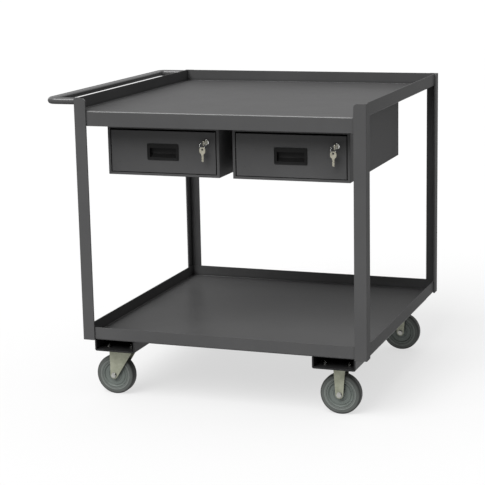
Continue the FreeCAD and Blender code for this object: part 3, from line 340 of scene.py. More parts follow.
def makeSkinGroup(values):
    # fine grain of the skin, slow drift over it, and rubbed marks
    group, start, stop = newGroup("skinGrain", [("Grain Scale", 600.0), ("Patch Scale", 6.0)],
                                  [(label, "NodeSocketFloat") for label in ("Grain", "Patch", "Scuff")])
    grain = addNoise(group, start.outputs["Grain Scale"], values["grainDetail"], values["grainRoughness"])
    patch = addNoise(group, start.outputs["Patch Scale"], values["patchDetail"], values["patchRoughness"])
    spread = addMath(group, "MULTIPLY_ADD", patch, values["patchGain"], values["patchShift"], clamp=True)
    marks = addNoise(group, values["scuffScale"], values["scuffDetail"], values["scuffRoughness"],
                     values["scuffStretch"])
    scuff = raiseAbove(group, marks, values["scuffFrom"], values["scuffGain"])
    for value, label in ((grain, "Grain"), (spread, "Patch"), (scuff, "Scuff")):
        group.links.new(value, stop.inputs[label])
    return group


def makeDustGroup(values):
    # settles on faces that look up, thinner where the noise is low
    group, start, stop = newGroup("settledDust", [("Amount", 0.2)], [("Dust", "NodeSocketFloat")])
    geometry = group.nodes.new("ShaderNodeNewGeometry")
    split = group.nodes.new("ShaderNodeSeparateXYZ")
    group.links.new(geometry.outputs["Normal"], split.inputs[0])
    facing = addMath(group, "MAXIMUM", split.outputs["Z"], 0.0)
    facing = addMath(group, "POWER", facing, values["dustPower"])
    noise = addNoise(group, values["dustScale"], values["dustDetail"], values["dustRoughness"])
    cover = addMath(group, "MULTIPLY", facing, noise)
    dust = addMath(group, "MULTIPLY", cover, start.outputs["Amount"], clamp=True)
    group.links.new(dust, stop.inputs["Dust"])
    return group


edgeGroup = makeEdgeGroup(maskSpec)
skinGroup = makeSkinGroup(maskSpec)
dustGroup = makeDustGroup(maskSpec)


def placeGroup(tree, group, **values):
    node = tree.nodes.new("ShaderNodeGroup")
    node.node_tree = group
    for name, value in values.items():
        node.inputs[name.replace("_", " ")].default_value = value
    return node


def mixColour(tree, factor, first, second):
    node = tree.nodes.new("ShaderNodeMix")
    node.data_type = "RGBA"
    tree.links.new(factor, node.inputs["Factor"])
    sockets = [socket for socket in node.inputs if socket.type == "RGBA"]
    for socket, value in zip(sockets, (first, second)):
        if isinstance(value, tuple):
            socket.default_value = (*value, 1)
        else:
            tree.links.new(value, socket)
    return [socket for socket in node.outputs if socket.type == "RGBA"][0]


def newMaterial(name):
    material = bpy.data.materials.new(name)
    material.use_nodes = True
    return material, material.node_tree.nodes["Principled BSDF"]


def makeFinish(name, look):
    material, shader = newMaterial(name)
    tree = material.node_tree
    skin = placeGroup(tree, skinGroup, Grain_Scale=look["grain"], Patch_Scale=look["patch"])
    edge = placeGroup(tree, edgeGroup, Radius=look["edgeRadius"])
    dust = placeGroup(tree, dustGroup, Amount=look["dust"])
    colour = mixColour(tree, skin.outputs["Patch"], look["dark"], look["light"])
    # edges take the third colour as edge wear plus a painted highlight; scuffs take it as wear
    for mask, share in ((skin.outputs["Scuff"], look["scuff"]), (edge.outputs["Edge"], look["edgeWearAndHighlight"])):
        colour = mixColour(tree, addMath(tree, "MULTIPLY", mask, share), colour, look["wornAndHighlight"])
    for mark, tint in look["marks"].items():
        place = tree.nodes.new("ShaderNodeAttribute")
        place.attribute_name = mark
        colour = mixColour(tree, place.outputs["Fac"], colour, tint)
    colour = mixColour(tree, dust.outputs["Dust"], colour, look["dustColour"])
    # painted shade: the colour is darkened toward a shade colour in inside corners, gaps and under
    # overhangs
    crevice = addMath(tree, "MULTIPLY", edge.outputs["Painted Shade"], look["crevice"])
    colour = mixColour(tree, crevice, colour, look["grime"])
    tree.links.new(colour, shader.inputs["Base Color"])
    rough = addMath(tree, "MULTIPLY_ADD", skin.outputs["Patch"], look["roughSwing"], look["rough"])
    rough = addMath(tree, "MULTIPLY_ADD", skin.outputs["Scuff"], look["roughSwing"], rough)
    tree.links.new(rough, shader.inputs["Roughness"])
    bump = tree.nodes.new("ShaderNodeBump")
    bump.inputs["Strength"].default_value = look["bump"]
    bump.inputs["Distance"].default_value = look["bumpHeight"]
    tree.links.new(skin.outputs["Grain"], bump.inputs["Height"])
    tree.links.new(edge.outputs["Normal"], bump.inputs["Normal"])
    tree.links.new(bump.outputs["Normal"], shader.inputs["Normal"])
    if look["bendCoat"]:
        coat = addMath(tree, "MULTIPLY", edge.outputs["Bend"], look["bendCoat"])
        tree.links.new(coat, shader.inputs["Coat Weight"])
        shader.inputs["Coat Roughness"].default_value = look["coatRough"]
    shader.inputs["Metallic"].default_value = look["metal"]
    shader.inputs["Specular IOR Level"].default_value = look["gloss"]
    return material


def makeLook(dark, light, wornAndHighlight, **changes):
    # a slot's base colour runs from dark to light; its third colour goes on edges, as edge wear with a
    # painted highlight, and on scuffs, as wear
    look = {"dark": dark, "light": light, "wornAndHighlight": wornAndHighlight, "marks": {}, "metal": 0.0, "gloss": 0.5,
            "grain": 700.0, "patch": 5.0, "bump": 0.2, "bumpHeight": 0.0002, "edgeRadius": 0.0012,
            "edgeWearAndHighlight": 0.3, "scuff": 0.1, "rough": 0.33, "roughSwing": 0.07,
            "dust": 0.03, "dustColour": (0.3, 0.295, 0.285), "bendCoat": 0.0, "coatRough": 0.25,
            "crevice": 0.75, "grime": (0.004, 0.004, 0.004)}
    look.update(changes)
    return look


looks = {
    "frame_paint": makeLook((0.05, 0.05, 0.0505), (0.061, 0.061, 0.0615), (0.11, 0.11, 0.11),
                            gloss=0.006, bendCoat=1.0, rough=0.3, roughSwing=0.1, patch=3.4),
    "channel_paint": makeLook((0.008, 0.008, 0.0085), (0.012, 0.012, 0.0125), (0.03, 0.03, 0.03),
                              gloss=0.15),
    "drawer_paint": makeLook((0.05, 0.05, 0.0505), (0.061, 0.061, 0.0615), (0.11, 0.11, 0.11),
                             gloss=0.01, rough=0.36),
    "slide_steel": makeLook((0.5, 0.5, 0.49), (0.6, 0.6, 0.58), (0.7, 0.7, 0.68),
                            metal=1.0, rough=0.28),
    "zinc_plate": makeLook((0.19, 0.197, 0.145), (0.31, 0.318, 0.25), (0.45, 0.45, 0.4),
                           metal=0.5, rough=0.38, grain=300.0, patch=45.0, roughSwing=0.16,
                           grime=(0.03, 0.03, 0.024)),
    # caster bolts carry a mark that darkens them all over as painted shade, for the shade inside the
    # channel
    "bright_fastener": makeLook((0.3, 0.3, 0.28), (0.46, 0.46, 0.44), (0.8, 0.8, 0.78),
                                metal=1.0, rough=0.25, patch=70.0, edgeRadius=0.0005,
                                marks={"dirtAndShade": (0.045, 0.045, 0.044)}),
    # tread marks: paler inside the moulded ring with a painted highlight on the ring, and floor dirt on the
    # running face
    "grey_tread": makeLook((0.056, 0.0605, 0.057), (0.072, 0.078, 0.073), (0.13, 0.14, 0.13),
                           rough=0.5, gloss=0.2, grain=900.0, patch=25.0, scuff=0.3,
                           marks={"paleAndRingHighlight": (0.14, 0.155, 0.145), "dirtAndShade": (0.012, 0.0125, 0.012)}),
    "grey_core": makeLook((0.078, 0.09, 0.082), (0.102, 0.116, 0.107), (0.16, 0.175, 0.165),
                          rough=0.4, gloss=0.25, grain=800.0, patch=30.0, edgeRadius=0.0008,
                          grime=(0.012, 0.013, 0.012)),
    "black_plastic": makeLook((0.004, 0.004, 0.004), (0.0065, 0.0065, 0.0065), (0.015, 0.015, 0.015),
                              rough=0.45, grain=1500.0, bump=0.4, gloss=0.1, edgeRadius=0.0008),
    "chrome_lock": makeLook((0.62, 0.62, 0.6), (0.74, 0.74, 0.72), (0.9, 0.9, 0.9),
                            metal=1.0, rough=0.1, roughSwing=0.03, bump=0.04, patch=80.0,
                            edgeRadius=0.0003, crevice=0.5),
    "key_steel": makeLook((0.3, 0.29, 0.23), (0.44, 0.42, 0.35), (0.62, 0.61, 0.55),
                          metal=1.0, rough=0.24, patch=120.0, bump=0.12, edgeRadius=0.0003,
                          crevice=0.4),
}
finishes = {slot: makeFinish(slot, look) for slot, look in looks.items()}
slotOf = {entry["node"]: entry["material_slot"] for entry in frame["record"]["subparts"]}
for nodeName, node in nodes.items():
    setMaterial(node, finishes[slotOf[nodeName]])
print("finishes made,", len(finishes))


wheelSpec = {
    "shoulder": 0.0062,                         # rounding of the tread's shoulders
    "groove": 0.0018, "grooveFloor": 0.0012, "grooveTop": 0.002,    # ring groove between core and tread
    "ringShare": 0.768,                         # moulded ring on the tread's side, share of the radius
    "ringRise": 0.0006, "ringFlat": 0.0008, "ringFoot": 0.0014,
    "highlightWidth": 0.001, "highlightOnRing": 0.9, "paleInside": 0.35, "soilMost": 0.8,
    "bore": 0.00608, "bossRadius": 0.0135, "halfBoss": 0.02, "halfWeb": 0.0128, "halfRim": 0.0153,
    "steps": 96,
}
corners = ["front_left", "front_right", "rear_left", "rear_right"]


def treadPaleAndHighlight(radius, ring, values):
    # paler inside the moulded ring, and a painted highlight on the ring itself
    if abs(radius - ring) < values["highlightWidth"]:
        return values["highlightOnRing"]
    return values["paleInside"] if radius < ring else 0.0


def treadSoil(radius, outer, values):
    # the running face and its shoulders carry floor dirt
    shoulder = values["shoulder"]
    return max(0.0, min(values["soilMost"], (radius - (outer - shoulder)) / shoulder))


def mirrorOutline(half):
    return half + [(radius, -along) for radius, along in reversed(half)] + [half[0]]


def treadOutline(core, outer, halfWidth, values):
    shoulder, groove, rise = values["shoulder"], values["groove"], values["ringRise"]
    ring = outer * values["ringShare"]
    flat, foot = values["ringFlat"], values["ringFoot"]
    half = [(core, halfWidth - groove), (core + values["grooveFloor"], halfWidth - groove),
            (core + values["grooveTop"], halfWidth - rise), (ring - foot, halfWidth - rise),
            (ring - flat, halfWidth), (ring + flat, halfWidth), (ring + foot, halfWidth - rise)]
    for step in range(7):
        angle = math.radians(90 - 15 * step)
        half.append((outer - shoulder + shoulder * math.cos(angle),
                     halfWidth - rise - shoulder + shoulder * math.sin(angle)))
    return mirrorOutline(half)


def coreOutline(core, values):
    bore, boss, halfBoss = values["bore"], values["bossRadius"], values["halfBoss"]
    web, rim = values["halfWeb"], values["halfRim"]
    # from the bore out: boss, web with a raised ring and a sunk one, then the rim
    half = [(bore, halfBoss - 0.0008), (bore + 0.0009, halfBoss), (boss - 0.003, halfBoss),
            (boss - 0.0016, halfBoss - 0.0012), (boss, web + 0.0012), (boss + 0.0014, web),
            (core * 0.5, web + 0.0002), (core * 0.515, web + 0.0011), (core * 0.555, web + 0.0011),
            (core * 0.57, web + 0.0002), (core * 0.8, web + 0.0004), (core * 0.815, web - 0.0006),
            (core * 0.855, web - 0.0006), (core * 0.87, web + 0.0006), (core * 0.9, rim - 0.0009),
            (core * 0.93, rim), (core * 0.975, rim), (core, rim - 0.0007)]
    return mirrorOutline(half)


def wheelCentre(corner):
    low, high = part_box(corner + "_wheel_tyre")
    return (low + high) / 2


def makeWheels(values):
    first = corners[0]
    centre = wheelCentre(first)
    tyreLow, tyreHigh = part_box(first + "_wheel_tyre")
    hubLow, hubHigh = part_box(first + "_wheel_hub")
    core = (hubHigh.z - hubLow.z) / 2
    outer = (tyreHigh.z - tyreLow.z) / 2
    ring = values["ringShare"] * (tyreHigh.z - tyreLow.z) / 2
    outlines = {"Tread": treadOutline(core, outer, (tyreHigh.y - tyreLow.y) / 2, values),
                "Core": coreOutline(core, values)}
    for kind, node, slot in (("Tread", "tyre", "grey_tread"), ("Core", "hub", "grey_core")):
        model = lathe(first + kind, outlines[kind], centre, sideways, rightward, values["steps"])
        settle(model, 32)
        if kind == "Tread":
            markVertices(model, "paleAndRingHighlight", lambda spot: treadPaleAndHighlight((spot - centre).xz.length, ring, values))
            markVertices(model, "dirtAndShade", lambda spot: treadSoil((spot - centre).xz.length, outer, values))
        for corner in corners:
            shift = wheelCentre(corner) - centre
            piece = model if corner == first else copyPiece(model, corner + kind, shift)
            attach(piece, corner + "_wheel", slot, f"{corner}_wheel_{node}")


makeWheels(wheelSpec)
print("wheels made")

axleSpec = {
    "shankRadius": 0.006, "shankPast": 0.0118, "threadFrom": 0.046, "threadPitch": 0.0015,
    "headCorner": 0.008, "headHeight": 0.0052, "washerRadius": 0.009, "washerSheet": 0.0006,
    "nutHeight": 0.0064, "collarHeight": 0.0026, "collarRadius": 0.0075, "collarSoft": 0.0007,
    "forkOuter": 0.024,     # half the fork's outside width
}


def makeAxles(values):
    # bolt, two washers and a nut with a locking collar
    first = corners[0]
    centre = wheelCentre(first)
    fork, washer, shank = values["forkOuter"], values["washerSheet"], values["shankRadius"]
    headStart = centre - sideways * (fork + washer)
    nutStart = centre + sideways * (fork + washer)
    bolt = threadedRod(first + "Shank", shank, headStart, centre + sideways * (fork + values["shankPast"]),
                       values["threadFrom"], values["threadPitch"])
    head = hexHead(first + "Head", values["headCorner"], values["headHeight"], headStart, -sideways)
    nut = hexHead(first + "Nut", values["headCorner"], values["nutHeight"], nutStart, sideways)
    rise, outer, soft = values["collarHeight"], values["collarRadius"], values["collarSoft"]
    outline = [(shank, 0), (outer, 0), (outer, rise - soft), (outer - soft, rise), (shank, rise),
               (shank, 0)]
    collar = lathe(first + "Collar", outline, nutStart + sideways * values["nutHeight"], sideways,
                   rightward, 48)
    washers = [flatWasher(f"{first}Washer{number}", shank, values["washerRadius"], washer,
                          centre + sideways * side * fork, sideways * side)
               for number, side in enumerate((-1, 1))]
    model = settle(joinPieces(first + "Axle", [bolt, head, nut, collar] + washers), 28)
    for corner in corners:
        shift = wheelCentre(corner) - centre
        piece = model if corner == first else copyPiece(model, corner + "Axle", shift)
        body = corner + "_swivel" if "left" in corner else "root"
        attach(piece, body, "bright_fastener", corner + "_axle")


makeAxles(axleSpec)
print("axles made")

casterBoltSpec = {
    "spacing": 0.0762, "headSpace": 0.0053, "shankRadius": 0.004, "threadFrom": 0.0075,
    "threadPitch": 0.00125, "headCorner": 0.0073, "headHeight": 0.0052, "nutHeight": 0.0063,
    "washerRadius": 0.0085, "washerSheet": 0.0012,
    "boltShade": 0.8,
    "plates": ("front_left_caster_plate", "rear_left_caster_plate",
               "front_right_caster_fork", "rear_right_caster_fork"),
}


def boltSpots(values):
    # four bolts on a square pattern in each caster's plate
    half = values["spacing"] / 2
    spots = []
    for name in values["plates"]:
        low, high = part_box(name)
        middle = (low + high) / 2
        spots += [Vector((middle.x + across * half, middle.y + deep * half, 0))
                  for across in (-1, 1) for deep in (-1, 1)]
    return spots


def makeCasterBolts(values):
    boltLow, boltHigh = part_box("caster_bolts")
    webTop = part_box("caster_nuts")[0].z
    corner, sheet = values["headCorner"], values["washerSheet"]
    spots = boltSpots(values)
    firstSpot = spots[0]
    base = firstSpot + upward * (boltLow.z + values["headSpace"])
    shank = threadedRod("casterBoltShank", values["shankRadius"], base,
                        firstSpot + upward * boltHigh.z, values["threadFrom"], values["threadPitch"], 32)
    head = hexHead("casterBoltHead", corner, values["headHeight"], base, -upward)
    bolt = settle(joinPieces("casterBolt", [shank, head]), 28)
    nut = hexHead("casterNutBody", corner, values["nutHeight"] - sheet,
                  firstSpot + upward * (webTop + sheet), upward)
    washer = flatWasher("casterNutWasher", values["shankRadius"], values["washerRadius"], sheet,
                        firstSpot + upward * webTop, upward)
    nut = settle(joinPieces("casterNut", [nut, washer]), 28)
    for model, name, node in ((bolt, "casterBolts", "caster_bolts"), (nut, "casterNuts", "caster_nuts")):
        # the caster bolts and nuts stand inside the dark channel: this mark darkens them all over as
        # painted shade
        markVertices(model, "dirtAndShade", lambda spot: values["boltShade"])
        copies = [copyPiece(model, f"{name}{number}", spot - firstSpot)
                  for number, spot in enumerate(spots[1:], 1)]
        attach(joinPieces(name, [model] + copies), "root", "bright_fastener", node)


makeCasterBolts(casterBoltSpec)
print("caster bolts made")

pullSpec = {
    "corner": 0.003, "cornerSteps": 5, "edgeBevel": 0.0003,
    "rimWidth": 0.002, "rimStep": 0.0007, "stepWidth": 0.0005,      # raised rim round the flange
    "cupWidth": 0.0944, "cupHeight": 0.0414, "cupOverlap": 0.0004, "wall": 0.0015,
    "mouthWidth": 0.086, "mouthHeight": 0.034, "lipHeight": 0.005, "ramp": 0.011, "soft": 0.0016,
    "clear": 0.001,                                                 # the scoop starts before the flange
}


def makeFlange(name, low, high, values):
    # plate with round corners and a rim that stands proud of a sunk middle
    flange = makeBlock(name, low, high)
    makeActive(flange)
    bpy.ops.object.mode_set(mode="EDIT")
    bpy.ops.mesh.select_mode(type="EDGE")
    bpy.ops.mesh.select_all(action="DESELECT")
    bpy.ops.object.mode_set(mode="OBJECT")
    shortest = 0.0005
    for edge in flange.data.edges:
        first, second = (flange.data.vertices[index].co for index in edge.vertices)
        edge.select = abs(first.y - second.y) > shortest
    bpy.ops.object.mode_set(mode="EDIT")
    bpy.ops.mesh.bevel(offset=values["corner"], segments=values["cornerSteps"], affect="EDGES")
    bpy.ops.mesh.select_all(action="DESELECT")
    bpy.ops.mesh.select_mode(type="FACE")
    bpy.ops.object.mode_set(mode="OBJECT")
    for polygon in flange.data.polygons:
        polygon.select = polygon.normal.y < -0.9
    bpy.ops.object.mode_set(mode="EDIT")
    bpy.ops.mesh.inset(thickness=values["rimWidth"])
    bpy.ops.mesh.inset(thickness=values["stepWidth"])
    bpy.ops.transform.translate(value=(0, values["rimStep"], 0))
    bpy.ops.object.mode_set(mode="OBJECT")
    return flange


def makePull(side, values):
    # flange on the drawer's face, cup behind it, and the scoop the fingers reach into
    low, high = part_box(side + "_drawer_pull")
    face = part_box(side + "_drawer_front")[0].y
    middle = Vector(((low.x + high.x) / 2, face, (low.z + high.z) / 2))
    flange = makeFlange(side + "Flange", (low.x, low.y, low.z), (high.x, face, high.z), values)
    halfCup = Vector((values["cupWidth"] / 2, 0, values["cupHeight"] / 2))
    cup = makeBlock(side + "Cup", (middle.x - halfCup.x, face - values["cupOverlap"], middle.z - halfCup.z),
                    (middle.x + halfCup.x, high.y, middle.z + halfCup.z))
    carve(flange, cup, "UNION")
    wall, lip = values["wall"], values["lipHeight"]
    bottom = middle.z - values["mouthHeight"] / 2
    top = middle.z + values["mouthHeight"] / 2
    front = low.y - values["clear"]
    back = high.y - wall
    left = middle.x - values["mouthWidth"] / 2
    profile = [(front, bottom), (face + wall, bottom), (back, bottom + values["ramp"]),
               (back, middle.z + halfCup.z - wall), (face + wall, middle.z + halfCup.z - wall),
               (face + wall, top - lip), (front, top - lip)]
    scoop = cutSheet(side + "Scoop", [Vector((left, y, z)) for y, z in profile],
                     rightward * values["mouthWidth"])
    roundEdges(scoop, values["soft"], 3, 20)
    carve(flange, scoop)
    flange.name = side + "Pull"
    roundEdges(flange, values["edgeBevel"], 2, 35)
    attach(settle(flange, 40), side + "_drawer", "black_plastic", side + "_drawer_pull")


for side in ("left", "right"):
    makePull(side, pullSpec)
print("pulls made")

lockSpec = {
    "headRadius": 0.0095, "headDepth": 0.003, "barrelRadius": 0.008, "bore": 0.0056, "boreBevel": 0.0006,
    "nutCorner": 0.0113, "nutHeight": 0.0029, "nutBack": 0.003, "nutGap": 0.0004,
    "threadPitch": 0.001, "threadDepth": 0.0004, "threadPast": 0.0025, "endBevel": 0.0005,
    "cutBefore": 0.001, "cutAfter": 0.005,      # the nut's hole starts before it and ends past it
    "steps": 64,
}


def makeLock(side, values):
    # head with a rounded rim on the drawer's face, threaded barrel behind it, and its nut
    low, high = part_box(side + "_lock_barrel")
    plugLow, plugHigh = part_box(side + "_lock_plug")
    centre = Vector(((plugLow.x + plugHigh.x) / 2, low.y, (plugLow.z + plugHigh.z) / 2))
    radius, depth, barrel = values["headRadius"], values["headDepth"], values["barrelRadius"]
    bore, boreBevel, pitch = values["bore"], values["boreBevel"], values["threadPitch"]
    outline = [(bore, boreBevel), (bore + 0.0005, 0.0001), (radius - 0.0022, 0),
               (radius - 0.0009, 0.0004), (radius - 0.0002, 0.0012), (radius, 0.002), (radius, depth),
               (barrel, depth)]
    along = depth + values["threadPast"]
    length = high.y - low.y
    while along < length - pitch:
        outline += [(barrel, along), (barrel - values["threadDepth"], along + pitch / 2)]
        along += pitch
    outline += [(barrel - values["endBevel"], length), (bore, length), (bore, boreBevel)]
    shell = lathe(side + "LockShell", outline, centre, sideways, rightward, values["steps"])
    nutBase = centre + sideways * (length - values["nutGap"] - values["nutBack"])
    nut = hexHead(side + "LockNut", values["nutCorner"], values["nutHeight"], nutBase, sideways)
    before, after = values["cutBefore"], values["cutAfter"]
    nutBore = lathe(side + "LockNutBore", [(0, -before), (barrel, -before), (barrel, after), (0, after)],
                    nutBase, sideways, rightward, values["steps"])
    carve(nut, nutBore)
    attach(settle(joinPieces(side + "LockBarrel", [shell, nut]), 30), side + "_drawer", "chrome_lock",
           side + "_lock_barrel")


for side in ("left", "right"):
    makeLock(side, lockSpec)
print("locks made")

keySpec = {
    "bow": 0.011, "bowShift": 0.0035, "bowSteps": 44, "bowLong": 0.98, "bowWide": 0.99,
    "bowSquare": 0.05,                          # how far the bow leaves a round outline
    "hole": 0.0035, "holeReach": 0.003, "sheet": 0.0018, "halfBlade": 0.0037, "length": 0.0385,
    "neckEnd": 0.0163, "neckShare": 1.25,       # stop between bow and blade, wider than the blade
    "tipBack": 0.002, "tipRise": 0.0022, "tipTop": 0.0018, "tipDrop": 0.0012,
    "cuts": (0.0012, 0.0023, 0.0009, 0.0019, 0.0014), "cutStart": 0.0195, "cutPitch": 0.0034,
    "cutSlope": 0.6, "cutTop": 0.0004, "cutFloor": 0.0003,
    "grooveHeight": 0.0014, "grooveDepth": 0.00045, "grooveStart": 0.0175, "grooveOffset": 0.0006,
    "groovePast": 0.001, "soft": 0.00022,
    "ringRadius": 0.009, "ringWire": 0.00052, "ringFlat": 0.75, "hangDrop": 0.01175, "faceTurn": 80,
}


def bowOutline(values):
    # bow hole near the origin, blade along +Y, from the neck's upper side round to its lower side
    bow = values["bow"]
    steps = values["bowSteps"]
    start = math.asin(values["halfBlade"] * values["neckShare"] / bow)
    outline = []
    for step in range(steps + 1):
        angle = start + (math.tau - 2 * start) * step / steps
        squeeze = 1 - values["bowSquare"] * math.cos(4 * angle)
        outline.append((values["bowShift"] + bow * squeeze * math.cos(angle) * values["bowLong"],
                        bow * squeeze * math.sin(angle) * values["bowWide"]))
    return outline


def bladeOutline(values):
    # the plain edge, the tip, then the cut edge back to the neck
    half, length = values["halfBlade"], values["length"]
    neck, share = values["neckEnd"], values["neckShare"]
    outline = [(neck, -half * share), (neck, -half), (length - values["tipBack"], -half),
               (length, -half + values["tipRise"]), (length - values["tipTop"], half - values["tipDrop"])]
    floor = values["cutFloor"]
    spots = [values["cutStart"] + values["cutPitch"] * number for number in range(len(values["cuts"]))]
    for place, depth in reversed(list(zip(spots, values["cuts"]))):
        slope = depth * values["cutSlope"]
        outline += [(place + slope + values["cutTop"], half), (place + floor, half - depth),
                    (place - floor, half - depth), (place - slope - values["cutTop"], half)]
    return outline + [(neck, half), (neck, half * share)]


def makeKey(values):
    # flat in the YZ plane, with a groove along each side of the blade
    thickness, reach = values["sheet"], values["holeReach"]
    outline = bowOutline(values) + bladeOutline(values)
    key = cutSheet("keyModel", [Vector((-thickness / 2, y, z)) for y, z in outline],
                   rightward * thickness)
    bowHole = lathe("keyHole", [(0, -reach), (values["hole"], -reach), (values["hole"], reach), (0, reach)],
                    Vector((0, 0, 0)), rightward, sideways, 40)
    carve(key, bowHole)
    inner = thickness / 2 - values["grooveDepth"]
    for face in (-1, 1):
        nearX, farX = sorted((face * inner, face * thickness))
        centre = values["grooveOffset"] * face
        groove = makeBlock("keyGroove", (nearX, values["grooveStart"], centre - values["grooveHeight"] / 2),
                           (farX, values["length"] + values["groovePast"],
                            centre + values["grooveHeight"] / 2))
        carve(key, groove)
    roundEdges(key, values["soft"], 2, 40)
    return settle(key, 40)


def makeRing(side, centre, values):
    # two flat turns of wire side by side, as a split ring is wound
    axis = (rightward - sideways).normalized()
    across = (rightward + sideways).normalized()
    wire, radius = values["ringWire"], values["ringRadius"]
    turns = []
    for number, offset in enumerate((-0.5, 0.5)):
        outline = []
        for step in range(13):
            angle = math.radians(30 * step)
            outline.append((radius + wire * math.cos(angle),
                            offset * wire + wire * values["ringFlat"] * math.sin(angle)))
        turns.append(lathe(f"{side}RingTurn{number}", outline, centre, axis, across, 64))
    return settle(joinPieces(side + "KeyRing", turns), 60)


def makeKeys(values):
    model = makeKey(values)
    hanging = Matrix.Rotation(math.radians(-90), 4, "X")
    turn = Matrix.Rotation(math.radians(values["faceTurn"]), 4, "Z") @ hanging
    for side in ("left", "right"):
        low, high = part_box(side + "_lock_key")
        spot = Vector(((low.x + high.x) / 2, low.y + values["bow"] - values["bowShift"],
                       (low.z + high.z) / 2))
        fixed = copyPiece(model, side + "LockKey", spot)
        attach(fixed, side + "_lock", "key_steel", side + "_lock_key")
        ringLow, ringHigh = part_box(side + "_key_ring")
        ringCentre = (ringLow + ringHigh) / 2
        attach(makeRing(side, ringCentre, values), side + "_hanging_key", "chrome_lock", side + "_key_ring")
        spare = copyPiece(model, side + "SpareKey", Vector((0, 0, 0)))
        spare.data.transform(Matrix.Translation(ringCentre - upward * values["hangDrop"]) @ turn)
        attach(spare, side + "_hanging_key", "key_steel", side + "_spare_key")
    makeActive(model)
    bpy.ops.object.delete()


makeKeys(keySpec)
print("keys made")

dustRingSpec = {"innerRadius": 0.0295, "outerRadius": 0.0332, "raceBottom": 0.148, "forkTop": 0.1465,
                "lip": 0.0004, "bulge": 0.55}


def plateCentre(end, height):
    low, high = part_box(end + "_left_caster_plate")
    return Vector(((low.x + high.x) / 2, (low.y + high.y) / 2, height))


def makeDustRings(values):
    # thin seal between the plate's raceway and the turning fork
    inner, outer, lip = values["innerRadius"], values["outerRadius"], values["lip"]
    rise = values["raceBottom"] - values["forkTop"] - lip
    outline = [(inner, lip), (inner + lip, rise), (outer, rise), (outer + lip, rise * values["bulge"]),
               (outer, lip), (outer - lip, lip), (inner, lip)]
    centre = plateCentre("front", values["forkTop"])
    front = settle(lathe("frontDustRing", outline, centre, upward, rightward, 64), 30)
    attach(front, "root", "zinc_plate")
    rear = copyPiece(front, "rearDustRing", plateCentre("rear", values["forkTop"]) - centre)
    attach(rear, "root", "zinc_plate")


makeDustRings(dustRingSpec)
print("dust rings made")

weldSpec = {
    "radius": 0.0019, "ripple": 0.16, "pitch": 0.0042, "rippleSteps": 6, "taper": 1.5,
    "handleRadius": 0.0018, "handleDrop": 0.0017,
    "top": 0.008, "bottom": 0.034,              # bead's ends, below a shelf's raised lips
    "frontTop": 0.046, "frontBottom": 0.078,    # the same on the top shelf's front lip
    "stitchRadius": 0.0024, "stitchLength": 0.03, "stitchShares": (0.06, 0.34, 0.62, 0.9),
}


def makeBead(name, start, end, radius, values):
    # rippled bead, thinner towards both ends
    axis = (end - start).normalized()
    length = (end - start).length
    count = max(8, int(length / values["pitch"] * values["rippleSteps"]))
    outline = [(0, 0)]
    for step in range(1, count):
        along = length * step / count
        swell = 1 - values["ripple"] * abs(math.sin(math.pi * along / values["pitch"]))
        taper = min(1.0, math.sqrt(min(along, length - along) / (radius * values["taper"])))
        outline.append((radius * swell * taper, along))
    outline.append((0, length))
    across = upward if abs(axis.z) < 0.5 else rightward
    return lathe(name, outline, start, axis, across, 12)


def postBeads(shelves, values):
    # where each post's flanges meet the shelves' lips
    beads = []
    for post in ("front_left_post", "front_right_post", "rear_right_post", "rear_left_post"):
        low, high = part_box(post)
        isLeft, isFront = "left" in post, "front" in post
        flangeX, flangeY = (high.x if isLeft else low.x), (high.y if isFront else low.y)
        for shelf, (shelfLow, shelfHigh) in shelves.items():
            hanging = shelf == "top_shelf" and isFront
            bottom = shelfHigh.z - values["frontBottom" if hanging else "bottom"]
            top = shelfHigh.z - values["frontTop" if hanging else "top"]
            lipY = shelfLow.y if isFront else shelfHigh.y
            beads.append(makeBead(post + shelf + "Wide", Vector((flangeX, lipY, bottom)),
                                  Vector((flangeX, lipY, top)), values["radius"], values))
            lipX = shelfLow.x if isLeft else shelfHigh.x
            beads.append(makeBead(post + shelf + "Deep",
                                  Vector((lipX, flangeY, shelfHigh.z - values["bottom"])),
                                  Vector((lipX, flangeY, shelfHigh.z - values["top"])),
                                  values["radius"], values))
    return beads


def stitchBeads(shelfUnder, values):
    # short stitches along both edges of each caster channel
    beads = []
    for channel in ("left_caster_channel", "right_caster_channel"):
        low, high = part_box(channel)
        for x in (low.x, high.x):
            for share in values["stitchShares"]:
                y = low.y + (high.y - low.y) * share
                beads.append(makeBead(f"{channel}{share}", Vector((x, y, shelfUnder)),
                                      Vector((x, y + values["stitchLength"], shelfUnder)),
                                      values["stitchRadius"], values))
    return beads


def handleBeads(values):
    # a ring of weld at each end of the push bar
    low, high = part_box("push_handle")
    tube = (high.z - low.z) / 2
    radius = values["handleRadius"]
    outline = []
    for step in range(13):
        angle = math.radians(30 * step)
        outline.append((tube + radius * math.cos(angle), radius * math.sin(angle)))
    centres = [Vector((high.x, y, (low.z + high.z) / 2 - values["handleDrop"]))
               for y in (low.y + tube, high.y - tube)]
    return [lathe("handleWeld", outline, centre, -rightward, upward, 48) for centre in centres]


def makeWelds(values):
    shelves = {name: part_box(name) for name in ("top_shelf", "lower_shelf")}
    beads = postBeads(shelves, values)
    beads += stitchBeads(shelves["lower_shelf"][0].z, values)
    beads += handleBeads(values)
    attach(settle(joinPieces("weldBeads", beads), 50), "root", "frame_paint")


makeWelds(weldSpec)
print("welds made")

dimpleSpec = {"inset": 0.025, "rise": 0.027, "radius": 0.0042, "depth": 0.0003}


